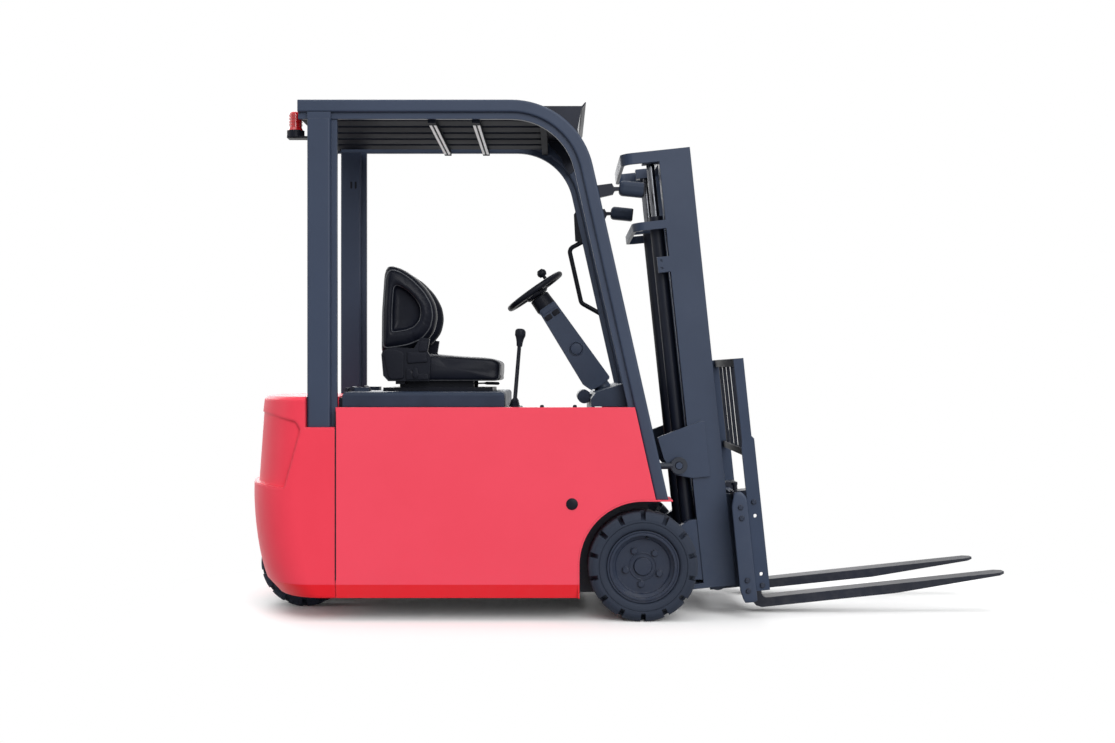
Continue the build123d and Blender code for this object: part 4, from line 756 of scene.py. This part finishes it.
# %% Let the foam fill the cover
def puff(piece, held, most):
    """Blow the cover up by cloth pressure while held points stay. No point moves more than most."""
    mesh = piece.data
    rest = np.empty(len(mesh.vertices) * 3)
    mesh.vertices.foreach_get("co", rest)
    rest = rest.reshape(-1, 3)
    group = piece.vertex_groups.new(name="held")
    group.add(np.flatnonzero(held(rest)).tolist(), 1.0, "REPLACE")
    cloth = piece.modifiers.new("foam", "CLOTH")
    cloth.settings.use_pressure = True
    cloth.settings.uniform_pressure_force = 4.0
    cloth.settings.vertex_group_mass = "held"
    cloth.settings.effector_weights.gravity = 0.0
    cloth.point_cache.frame_end = 20
    for step in range(1, cloth.point_cache.frame_end + 1):
        bpy.context.scene.frame_set(step)
    blown = np.empty_like(rest).ravel()
    piece.evaluated_get(bpy.context.evaluated_depsgraph_get()).data.vertices.foreach_get("co", blown)
    move = blown.reshape(-1, 3) - rest
    far = np.linalg.norm(move, axis=1, keepdims=True)
    piece.modifiers.remove(cloth)
    piece.vertex_groups.remove(group)
    move *= np.minimum(1, most / np.maximum(far, 1e-9))
    mesh.vertices.foreach_set("co", (rest + move).ravel())
    mesh.update()
    bpy.context.scene.frame_set(1)
    print(piece.name, "moved up to", round(float(np.minimum(far, most).max()) * 1000, 1), "mm")


puff(seat_back, lambda at: (at[:, 0] < seat_x - 0.05) | (at[:, 2] < seat_z + 0.15), 0.006)
puff(seat_pad, lambda at: (at[:, 2] < seat_z + 0.012) | (at[:, 0] < seat_x + 0.01), 0.006)
for piece, node in ((seat_back, "seat_back"), (seat_pad, "seat_cushion")):
    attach(piece, "hood")
    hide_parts(node)

# %% Piping along the seams
piping, tree, shader = finish_of("seat_piping")
skin = use(tree, fine_skin, Grain=700.0, Cloud=15.0)
dress(tree, shader, Base_Color=tint(tree, skin["Shade"], (0.018, 0.020, 0.027), (0.038, 0.042, 0.052)),
      Roughness=ramp(tree, skin["Shade"], 0.0, 1.0, 0.3, 0.45))


def seam_cords(outline, middle, share, inset, radius):
    """A cord along each side's seam: the outline scaled about its middle, at an inset."""
    around = middle + share * (outline - middle)
    sides = [np.stack([seat_x + around[:, 0], np.full(len(around), sign * (half_seat - inset)),
                       seat_z + around[:, 1]], -1) for sign in (-1, 1)]
    return [tube(side, radius) for side in sides]


outer_cords = seam_cords(back_outline, back_middle, 0.868, 0.016, 0.0032)
inner_cords = seam_cords(back_outline, back_middle, 0.53, 0.011, 0.0032)
rim_cords = seam_cords(cushion_outline, cushion_middle, 0.962, 0.013, 0.003)
skin_of("seat_back_piping", np.stack(outer_cords + inner_cords), piping, "hood", wrap=(True, True))
skin_of("seat_cushion_piping", np.stack(rim_cords), piping, "hood", wrap=(True, True))

# %% [markdown]
# ## Tyres
# Solid industrial tyres have deep lugs in each shoulder, the two rows half a pitch apart, and moulded
# rings on the wall. The solids give them in flat facets. Here the tyre is a height field on a wheel: a
# profile carried round the axle, cut down to a slot floor wherever the angle falls inside a slot.


# %% Lugged tyres
def lugged_tyre(name, axle, inner, outer, radius, bead, finish, body):
    """Radius = the profile's radius, or the slot's sloping floor where the angle lies within half a slot
    of a slot's middle. The floor falls by drop at the shoulder and by depth at the slot's inner end."""
    lugs, slot, drop, depth = 14, 0.021, 0.036, 0.014
    side = np.sign(outer)
    inner, outer = abs(inner), abs(outer)
    wide = outer - inner
    reach = 0.4 * wide
    wall = np.array([(0.0, 0.016), (0.06, 0.005), (0.13, 0.0015), (0.24, 0.0), (0.410, 0.0),
                     (0.418, 0.0024), (0.440, 0.0024), (0.448, 0.0), (0.55, 0.0), (0.63, 0.0005),
                     (0.69, 0.0016), (0.75, 0.0036), (0.81, 0.0066), (0.87, 0.0100), (0.93, 0.0136),
                     (0.97, 0.0170), (0.993, 0.0208), (1.0, 0.026)])
    tread = np.array([0.030, 0.5 * (0.030 + reach), reach - 0.0004, reach + 0.0004])
    inset = np.concatenate([wall[:, 1], tread, [wide / 2], wide - tread[::-1], wide - wall[::-1, 1]])
    share = np.concatenate([wall[:, 0], np.ones(9), wall[::-1, 0]])
    profile = (bead + share * (radius - bead))[:, None]
    half, step = 0.5 * slot, np.pi / lugs
    lips = (half + np.array([0.004, 0.001, 0.0003, -0.0003, -0.001, -0.004])) / radius
    local = np.concatenate([-lips, [0.0], lips[::-1], np.linspace(0.3, 0.7, 5) * step])
    slots = np.arange(2 * lugs)[:, None]
    turn, row = [part.ravel() for part in np.broadcast_arrays(slots * step + local, slots % 2)]
    near = np.abs(np.tile(local, 2 * lugs)) * radius
    opened = np.clip((half + 0.0003 - near) / 0.0006, 0, 1)
    edge = np.where(row == 0, inset[:, None], wide - inset[:, None])
    bottom = radius - drop + (drop - depth) * np.clip(edge / reach, 0, 1)
    far = profile - np.where(edge < reach, np.maximum(profile - bottom, 0), 0) * opened
    y = side * (outer - inset[:, None]) + 0 * far
    turn = turn + np.pi / 2
    points = np.stack([axle[0] + far * np.cos(turn), y, axle[1] + far * np.sin(turn)], -1)
    return skin_of(name, points, finish, body, wrap=(True, True), sharp=40.0)


drive_bead, steer_bead = 0.1503, 0.1123
twin_inner, twin_outer = 0.030, 0.140
hands = (("right", -1), ("left", 1))
for hand, side in hands:
    low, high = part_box("front_tyre_" + hand)
    ends = sorted((low.y, high.y), key=abs)
    made = lugged_tyre("drive_tyre_" + hand, (axle_x, axle_z), *ends, drive_radius, drive_bead, front_rubber,
                       "front_wheel_" + hand)
    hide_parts("front_tyre_" + hand)
    made = lugged_tyre("steer_tyre_" + hand, rear_axle, side * twin_inner, side * twin_outer, steer_radius,
                       steer_bead, rear_rubber, "rear_wheels")
    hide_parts("rear_tyres")

# %% [markdown]
# ## Wheels
# A drive wheel is bolted to its hub by five nuts on a circle of about 148 mm, round a dust cap. Small
# repeated parts are one grid, stamped at many places in a single array.


# %% Wheel nuts
def wheel_nuts(name, centre, side, circle, flats, body):
    """Five nuts on a circle round the axle, facing the side's way."""
    angle = np.radians(48 + 72 * np.arange(5))
    places = np.stack([centre[0] + circle * np.cos(angle), np.full(5, centre[1]),
                       centre[2] + circle * np.sin(angle)], -1)
    nut = hexagonal(flats, 0.014, 1.35 * flats)
    skin_of(name, stamped(nut, places, (0, side, 0)), rim_paint, body, sharp=30.0)


hub_face, lock_face, valve_face = 0.500, 0.531, 0.5142
rear_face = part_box("rear_rims")[1].y - 0.019
for hand, side in hands:
    wheel_nuts("wheel_nuts_" + hand, (axle_x, side * hub_face, axle_z), side, 0.074, 0.024,
               "front_wheel_" + hand)
    wheel_nuts("rear_nuts_" + hand, (rear_axle[0], side * rear_face, rear_axle[1]), side, 0.062, 0.019,
               "rear_wheels")

# %% Hub rings, lock rings and valves
ring = turned([(0.0525, 0), (0.0525, 0.002), (0.0555, 0.003), (0.0585, 0.002), (0.0585, 0), (0.0525, 0)], 72)
lock = turned([(0.1290, -0.022), (0.1290, 0.0), (0.1305, 0.002), (0.1395, 0.002), (0.1410, 0.0),
               (0.1410, -0.016), (0.1290, -0.022)], 96)
stem = turned([(0, 0), (0.006, 0), (0.006, 0.004), (0.0042, 0.005), (0.0042, 0.017), (0.0035, 0.019),
               (0, 0.019)], 16)
valve_radius, valve_turn = 0.126, np.radians(83)
for hand, side in hands:
    body, out = "front_wheel_" + hand, (0, side, 0)
    skin_of("hub_ring_" + hand, stamped(ring, (axle_x, side * hub_face, axle_z), out), rim_paint, body)
    skin_of("lock_ring_" + hand, stamped(lock, (axle_x, side * lock_face, axle_z), out), rim_paint, body)
    spot = (axle_x + valve_radius * np.cos(valve_turn), side * valve_face,
            axle_z + valve_radius * np.sin(valve_turn))
    skin_of("valve_" + hand, stamped(stem, spot, (0, side, -0.35)), black_plastic, body)

# %% [markdown]
# ## Lift chains
# The forks hang on two leaf chains that run from the fixed mast over a sheave and down to the carriage. A
# leaf chain is rows of flat plates on pins.

# %% Mast frame
lean = np.radians(6.0)


def on_mast(points):
    """From the mast's own upright frame, with the axle as origin, to the truck: turned by its lean."""
    points = np.asarray(points, float)
    x, y, z = points[..., 0], points[..., 1], points[..., 2]
    forward = x * np.cos(lean) - z * np.sin(lean)
    upward = x * np.sin(lean) + z * np.cos(lean)
    return np.stack([axle_x + forward, y, axle_z + upward], -1)


sheave_x, sheave_z, wrap_radius, pitch = 0.340, 1.690, 0.045, 0.0159
carriage_end, mast_end = 0.136, 1.462
spread = 0.1025
print("sheaves", round(sheave_z + axle_z, 3), "m up the mast")


# %% Chain plates along a path
def chain_line(at):
    """Distance along the chain to (x, z): up the front, half a turn over the sheave, down the rear."""
    front = sheave_z - carriage_end
    over = np.pi * wrap_radius
    angle = np.clip((at - front) / wrap_radius, 0, np.pi)
    drop = np.maximum(at - front - over, 0)
    x = sheave_x + wrap_radius * np.cos(angle)
    z = np.minimum(carriage_end + at, sheave_z) + wrap_radius * np.sin(angle) - drop
    return np.stack([x, z], -1)


def leaf_chain(name, start, stop):
    """Plates from pin to pin, in two sets that alternate across the width. Each is a waisted loop."""
    pins = np.arange(start, stop, pitch)
    from_, to = chain_line(pins), chain_line(pins + pitch)
    along = (to - from_) / np.linalg.norm(to - from_, axis=1, keepdims=True)
    normal = np.stack([-along[:, 1], along[:, 0]], -1)
    angle = np.linspace(0, 2 * np.pi, 16, endpoint=False)
    lengthways = 0.5 * pitch + (0.5 * pitch + 0.0056) * np.cos(angle)
    crosswise = 0.0056 * np.sin(angle) * (1 - 0.22 * np.exp(-(np.cos(angle) / 0.4) ** 2))
    shape = from_[:, None] + along[:, None] * lengthways[:, None] + normal[:, None] * crosswise[:, None]
    middle = from_ + along * 0.5 * pitch
    loops = np.stack([np.broadcast_to(middle[:, None], shape.shape), shape, shape,
                      np.broadcast_to(middle[:, None], shape.shape)], 1)
    seat = np.array([-0.5, -0.5, 0.5, 0.5]) * 0.0021
    lanes = (np.arange(4) * 2 - 3.5) * 0.00225
    shift = np.where(np.arange(len(pins)) % 2 == 0, 0.0, 0.00225)
    plates = []
    for hand in (-spread, spread):
        for lane in lanes:
            y = hand + lane + shift[:, None, None] + seat[None, :, None] + 0 * loops[..., 0]
            plates.append(on_mast(np.stack([loops[..., 0], y, loops[..., 1]], -1)))
    made = skin_of(name, np.concatenate(plates), chain_steel, None)
    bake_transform(made)
    return made


over_sheave = sheave_z - carriage_end + np.pi * wrap_radius
whole = over_sheave + sheave_z - mast_end
front_chain = leaf_chain("front_chains", 0.0, over_sheave)
leaf_chain("rear_chains", over_sheave, whole - pitch)
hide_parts("lift_chains")
print("chain", round(whole, 3), "m long")

# %% [markdown]
# ## Operator's controls
# Three hydraulic levers rise from a console beside the seat, each in a rubber boot and topped by a knob
# that widens to the palm. A lever is one turned profile from boot to knob, stamped three times along the
# leaning axis.

# %% Levers
low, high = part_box("control_levers")
boot = [(0.0, 0.0), (0.0215, 0.0), (0.0225, 0.004), (0.0185, 0.007), (0.0205, 0.011), (0.0165, 0.014),
        (0.0185, 0.018), (0.0145, 0.021), (0.0160, 0.025), (0.0120, 0.029), (0.0090, 0.033), (0.0072, 0.036)]
knob = [(0.0068, 0.255), (0.0105, 0.257), (0.0112, 0.262), (0.0120, 0.272), (0.0145, 0.285), (0.0180, 0.296),
        (0.0205, 0.300), (0.0212, 0.306), (0.0212, 0.318), (0.0200, 0.324), (0.0165, 0.3285), (0.0090, 0.331),
        (0.0, 0.3315)]
lanes = np.linspace(low.y + 0.020, high.y - 0.020, 3)
feet = np.stack([np.full(3, low.x + 0.0203), lanes, np.full(3, low.z)], -1)
lever = stamped(turned(boot + knob, 28), feet, (0.082, 0, 0.997))
levers = skin_of("lever_set", lever, black_plastic, "truck", sharp=50.0)
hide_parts("control_levers")

# %% [markdown]
# ## Seat fittings
# Moulded covers, belt housings, rails and latches stand a few millimetres proud of the seat frame's side
# plates. Boxes with bevels would need a modifier each. Here one function lifts any flat outline into a
# closed pad, and shrinks it about its middle as it rises, which rounds its edge over.


# %% Raised pads on flat sides
def raised_pad(name, corners, face, rise, finish, body, soften=0.004, inward=False):
    """A closed pad on each side face given: the outline is lifted by rise and shrunk on the way."""
    loop = rounded_loop(corners, 72, soften)
    middle = loop.mean(0)
    shrink = np.array([0.0, 1.0, 1.0, 0.985, 0.955, 0.90, 0.5, 0.0])
    lift = np.array([0.0, 0.0, 0.55, 0.85, 0.97, 1.0, 1.06, 1.08]) * rise - 0.001 * (np.arange(8) < 2)
    flat = middle + shrink[:, None, None] * (loop - middle)
    stack = []
    for y in np.atleast_1d(face):
        level = y + np.sign(y) * (-lift if inward else lift)
        level = np.broadcast_to(level[:, None], flat.shape[:2])
        stack.append(np.stack([flat[..., 0], level, flat[..., 1]], -1))
    skin_of(name, np.stack(stack), finish, body, sharp=50.0)


print("pad maker ready")

# %% Seat side: hip covers, belt housings and latches
side_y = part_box("seat_frame")[1].y
both = np.array([-side_y, side_y])
hip = [(-1.055, 1.120), (-1.040, 1.138), (-1.000, 1.138), (-0.965, 1.124), (-0.966, 1.008), (-1.030, 1.006)]
housing = [(-0.953, 1.126), (-0.868, 1.122), (-0.862, 1.082), (-0.950, 1.076)]
tongue = [(-0.897, 1.176), (-0.862, 1.172), (-0.868, 1.128), (-0.902, 1.128)]
rail = [(-0.957, 1.052), (-0.936, 1.052), (-0.934, 1.030), (-0.862, 1.032), (-0.858, 1.006), (-0.957, 1.004)]
bow = np.linspace(0, 2 * np.pi, 40, endpoint=False)
latch = np.stack([0.0125 * np.sin(bow) * (1 - 0.35 * np.cos(bow)), 0.026 * np.cos(bow)], -1) + (-0.915, 1.037)
raised_pad("hip_covers", hip, both, 0.006, black_plastic, "hood", 0.009)
raised_pad("belt_housings", housing, both, 0.008, black_plastic, "hood")
raised_pad("belt_tongues", tongue, both, 0.005, black_plastic, "hood")
raised_pad("seat_side_rails", rail, both, 0.006, black_plastic, "hood", 0.003)
raised_pad("seat_latches", latch, both + np.sign(both) * 0.004, 0.008, black_plastic, "hood", 0.001)

# %% [markdown]
# ## Seat slide lever
# A bent rod with a plastic grip frees the seat's slide. Its radius changes along the way, so it is a tube
# whose radius is a formula of the distance: thin rod, a step up to the grip, and a round tip.

# %% Seat slide lever
lever_x, lever_y, lever_z, lever_length = -0.672, -0.165, 0.988, 0.118
ease = np.linspace(0, 1, 24)
bend = 0.006 * ease * (1 - ease)
path = np.stack([lever_x + lever_length * ease, np.full(24, lever_y), lever_z + bend], -1)
grip = 0.0032 * np.clip((ease - 0.42) / 0.08, 0, 1)
tip = 0.0066 * np.clip((ease - 0.94) / 0.06, 0, 1) ** 2
thick = 0.0035 + grip - tip
thick[[0, -1]] = 0.0
skin_of("seat_slide_lever", tube(path, thick, 12, closed=False), black_plastic, "hood")

# %% [markdown]
# ## Steering column
# The column leans at the steering wheel's own angle. Its side carries a collar, two clips and a round
# cap, and a boss closes the gap under the wheel. They are drawn in a frame that runs down the column from
# the wheel's middle, so that one lean places them all.

# %% Column frame
tilt = np.radians(35.2)
wheel_spot = np.array((axle_x - 0.458, 1.4035))
wheel_centre = (wheel_spot[0], 0, wheel_spot[1])
down_column = np.array((np.sin(tilt), 0, -np.cos(tilt)))


def on_column(points):
    """From (across, down) on the column's side to X and Z, where down runs along the leaning column."""
    points = np.asarray(points, float)
    across, down = points[:, 0], points[:, 1]
    return np.stack([wheel_spot[0] + across * np.cos(tilt) + down * np.sin(tilt),
                     wheel_spot[1] + across * np.sin(tilt) - down * np.cos(tilt)], -1)


print("steering wheel at", wheel_spot.round(4))

# %% Collar, clips and caps
half_column = 0.058
column_y = np.array([-half_column, half_column])
collar = on_column([(-0.034, 0.092), (0.040, 0.092), (0.041, 0.114), (-0.036, 0.114)])
raised_pad("column_collar", collar, column_y, 0.004, dark_paint, "truck")
for number, (first, last) in enumerate(((-0.036, -0.002), (0.004, 0.038))):
    clip = on_column([(first, 0.122), (last, 0.122), (last, 0.146), (first, 0.146)])
    raised_pad("column_clip_%d" % (number + 1), clip, column_y, 0.003, black_plastic, "truck")
cap = turned([(0, 0), (0.0315, 0), (0.0315, 0.003), (0.0300, 0.0042), (0.0285, 0.0042), (0.0275, 0.0012),
              (0.0255, 0.0012), (0.0245, 0.0042), (0.012, 0.0050), (0, 0.0052)], 48)
spots = [(axle_x - 0.272, y, 1.143) for y in column_y]
skin_of("column_caps", stamped(cap, spots, [(0, -1, 0), (0, 1, 0)]), dark_paint, "truck", sharp=25.0)

# %% Boss under the wheel and the hub's cover, as radius and depth below the wheel's middle
boss = turned([(0, 0.0305), (0.040, 0.0305), (0.0455, 0.034), (0.0460, 0.060), (0.0475, 0.092),
               (0, 0.092)], 48)
skin_of("wheel_boss", stamped(boss, wheel_centre, down_column), black_plastic, "truck")
flare = turned([(0, 0.0095), (0.050, 0.0095), (0.055, 0.013), (0.053, 0.022), (0.046, 0.0278),
                (0, 0.0278)], 48)
skin_of("wheel_hub_cover", stamped(flare, wheel_centre, down_column), black_plastic, "steering_wheel")

# %% [markdown]
# ## Body trim
# The right panel carries a round black plug over its fixing and two rubber stops on its top edge. Each is
# a small turned profile, seated on the panel's own face as measured from the frame.

# %% Plug and rubber stops
panel_low, panel_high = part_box("side_panel_right")
dome = turned([(0, 0), (0.0245, 0), (0.0245, 0.002), (0.0235, 0.0036), (0.019, 0.0052), (0.011, 0.0064),
               (0, 0.0068)], 48)
plug = stamped(dome, (axle_x - 0.296, panel_low.y, 0.490), (0, -1, 0))
skin_of("panel_plug", plug, black_plastic, "truck")
stop = turned([(0, 0), (0.0085, 0), (0.0085, 0.004), (0.0075, 0.008), (0.005, 0.010), (0, 0.0105)], 24)
places = [(axle_x - back, panel_low.y + 0.013, panel_high.z) for back in (0.421, 0.284)]
skin_of("panel_stops", stamped(stop, places, (0, 0, 1)), black_plastic, "truck")

# %% [markdown]
# ## Work lamps
# Each lamp is a moulded shell with a fluted glass in front. The glass is a rounded square that bulges a
# little: its outline shrinks towards the middle while it moves forward by the square of what is left.

# %% Lamp glasses and rims
lamp_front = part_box("head_lamps")[1].x
ahead = np.array((0.995, 0, -0.1))
upward = np.array((0.1, 0, 0.995))
centres = [np.array((lamp_front - 0.0031, y, 1.7998)) for y in (-0.470, 0.470)]
square = rounded_loop([(-0.029, -0.027), (0.029, -0.027), (0.029, 0.027), (-0.029, 0.027)], 64, 0.006)


def lamp_layer(share, forward):
    """The rounded square at each share of its size, moved forward along the lamp's own axis."""
    share, forward = np.asarray(share, float), np.asarray(forward, float)
    flat = share[:, None, None] * square
    layers = flat[..., :1] * np.array((0, 1.0, 0)) + flat[..., 1:] * upward + forward[:, None, None] * ahead
    return np.stack([centre + layers for centre in centres])


shares = np.linspace(0, 0.93, 10)
bulge = 0.0012 + 0.005 * (1 - shares ** 2)
lens = lamp_layer([*shares, 0.93, 0.0], [*bulge, 0.0004, 0.0004])
skin_of("lamp_glasses", lens, lamp_glass, "truck", sharp=60.0)
bezel = lamp_layer([1.05, 1.05, 1.03, 0.99, 0.95, 0.93, 0.93, 1.05],
                   [-0.002, 0.003, 0.0048, 0.0052, 0.0046, 0.003, 0.0, -0.002])
skin_of("lamp_rims", bezel, black_plastic, "truck")

# %% [markdown]
# ## Carriage and backrest
# Cheek plates close the carriage at both ends and are bolted to its bars. Their outline is drawn in the
# mast's own upright frame and leaned back with it, so they travel along the rails without touching them.

# %% Cheek plates and bolts
cheek = np.array([(0.400, 0.205), (0.418, 0.262), (0.448, 0.262), (0.4665, 0.235), (0.4665, -0.206),
                  (0.412, -0.206), (0.398, -0.15)])
leaned = on_mast(np.stack([cheek[:, 0], 0 * cheek[:, 0], cheek[:, 1]], -1))[:, [0, 2]]
cheek_y = np.array([-0.4495, 0.4495])
raised_pad("carriage_cheeks", leaned, cheek_y, 0.007, dark_paint, "carriage", 0.006)
right_heads = np.array([(0.436, -0.457, 0.196), (0.436, -0.457, 0.150), (0.432, -0.457, -0.112),
                        (0.432, -0.457, -0.156), (0.494, -0.450, 0.213), (0.494, -0.450, -0.140)])
heads = np.concatenate([right_heads, right_heads * (1, -1, 1)])
ways = np.repeat([(0, -1, 0), (0, 1, 0)], len(right_heads), axis=0)
bolts = stamped(hexagonal(0.017, 0.009, 0.024), on_mast(heads), ways)
skin_of("carriage_bolts", bolts, rim_paint, "carriage", sharp=30.0)

# %% [markdown]
# ## Roof and body seams
# Two pale strips along each middle cross-member under the roof are painted highlights: they stand for
# the bright reflections on the members' edges. Black cord seals fill the joints between the side panels
# and the counterweight. The rear posts have a pair of slots for the wiring on their inner faces, drawn as
# thin black patches whose black is painted shade of the openings.

# %% Roof strips: painted highlights under the middle cross-members
roof_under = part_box("roof_cross_members")[0].z
half_strip = 0.402
section = np.array([(-0.0055, 0.0), (-0.0055, -0.0012), (-0.0045, -0.002), (0.0045, -0.002),
                    (0.0055, -0.0012), (0.0055, 0.0)])


def highlight_strip(middle):
    """The section carried across the roof at X = middle, drawn in to a line at both ends."""
    rings = [(0.0, -half_strip), (1.0, -half_strip), (1.0, half_strip), (0.0, half_strip)]
    return np.stack([np.stack([middle + share * section[:, 0], np.full(6, y), roof_under + section[:, 1]], -1)
                     for share, y in rings])


# Painted highlight: the near-white strips stand for light reflected off the cross-members.
highlight_strip_paint, tree, shader = finish_of("highlight_strip_paint")
skin = use(tree, fine_skin, Grain=300.0, Cloud=12.0)
dress(tree, shader, Base_Color=tint(tree, skin["Shade"], (0.90, 0.91, 0.92), (0.82, 0.83, 0.85)),
      Roughness=0.3)
strips = [highlight_strip(axle_x - back + offset) for back in (0.885, 0.700) for offset in (-0.0095, 0.0095)]
skin_of("roof_highlight_strips", np.stack(strips), highlight_strip_paint, "truck", sharp=30.0)

# %% Cord seals
seam_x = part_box("counterweight")[1].x + 0.001
seam_y, seam_foot, seam_length = 0.5238, 0.158, 0.732
ease = np.linspace(0, 1, 40)
thick = 0.0032 * np.sqrt(np.clip(np.minimum(ease, 1 - ease) / 0.03, 0, 1))
runs = [np.stack([np.full(40, seam_x), np.full(40, side * seam_y), seam_foot + seam_length * ease], -1)
        for side in (-1, 1)]
seals = np.stack([tube(run, thick, 10, closed=False) for run in runs])
skin_of("panel_seals", seals, black_plastic, "truck")

# %% Wiring slots in the rear posts: black patches of painted shade
slot_outline = np.array([(-0.0045, -0.017), (0.0045, -0.017), (0.0045, 0.017), (-0.0045, 0.017)])
post_inner = np.array([-0.425, 0.425])
# Painted shade: each slot is a black patch 0.6 mm proud of the post's inner face, in place of a dark opening.
for number, shift in enumerate((-0.0105, 0.0105)):
    raised_pad("post_slot_shades_%d" % (number + 1), slot_outline + (-1.2835 + shift, 1.939), post_inner, 0.0006,
               black_plastic, "truck", 0.003, inward=True)
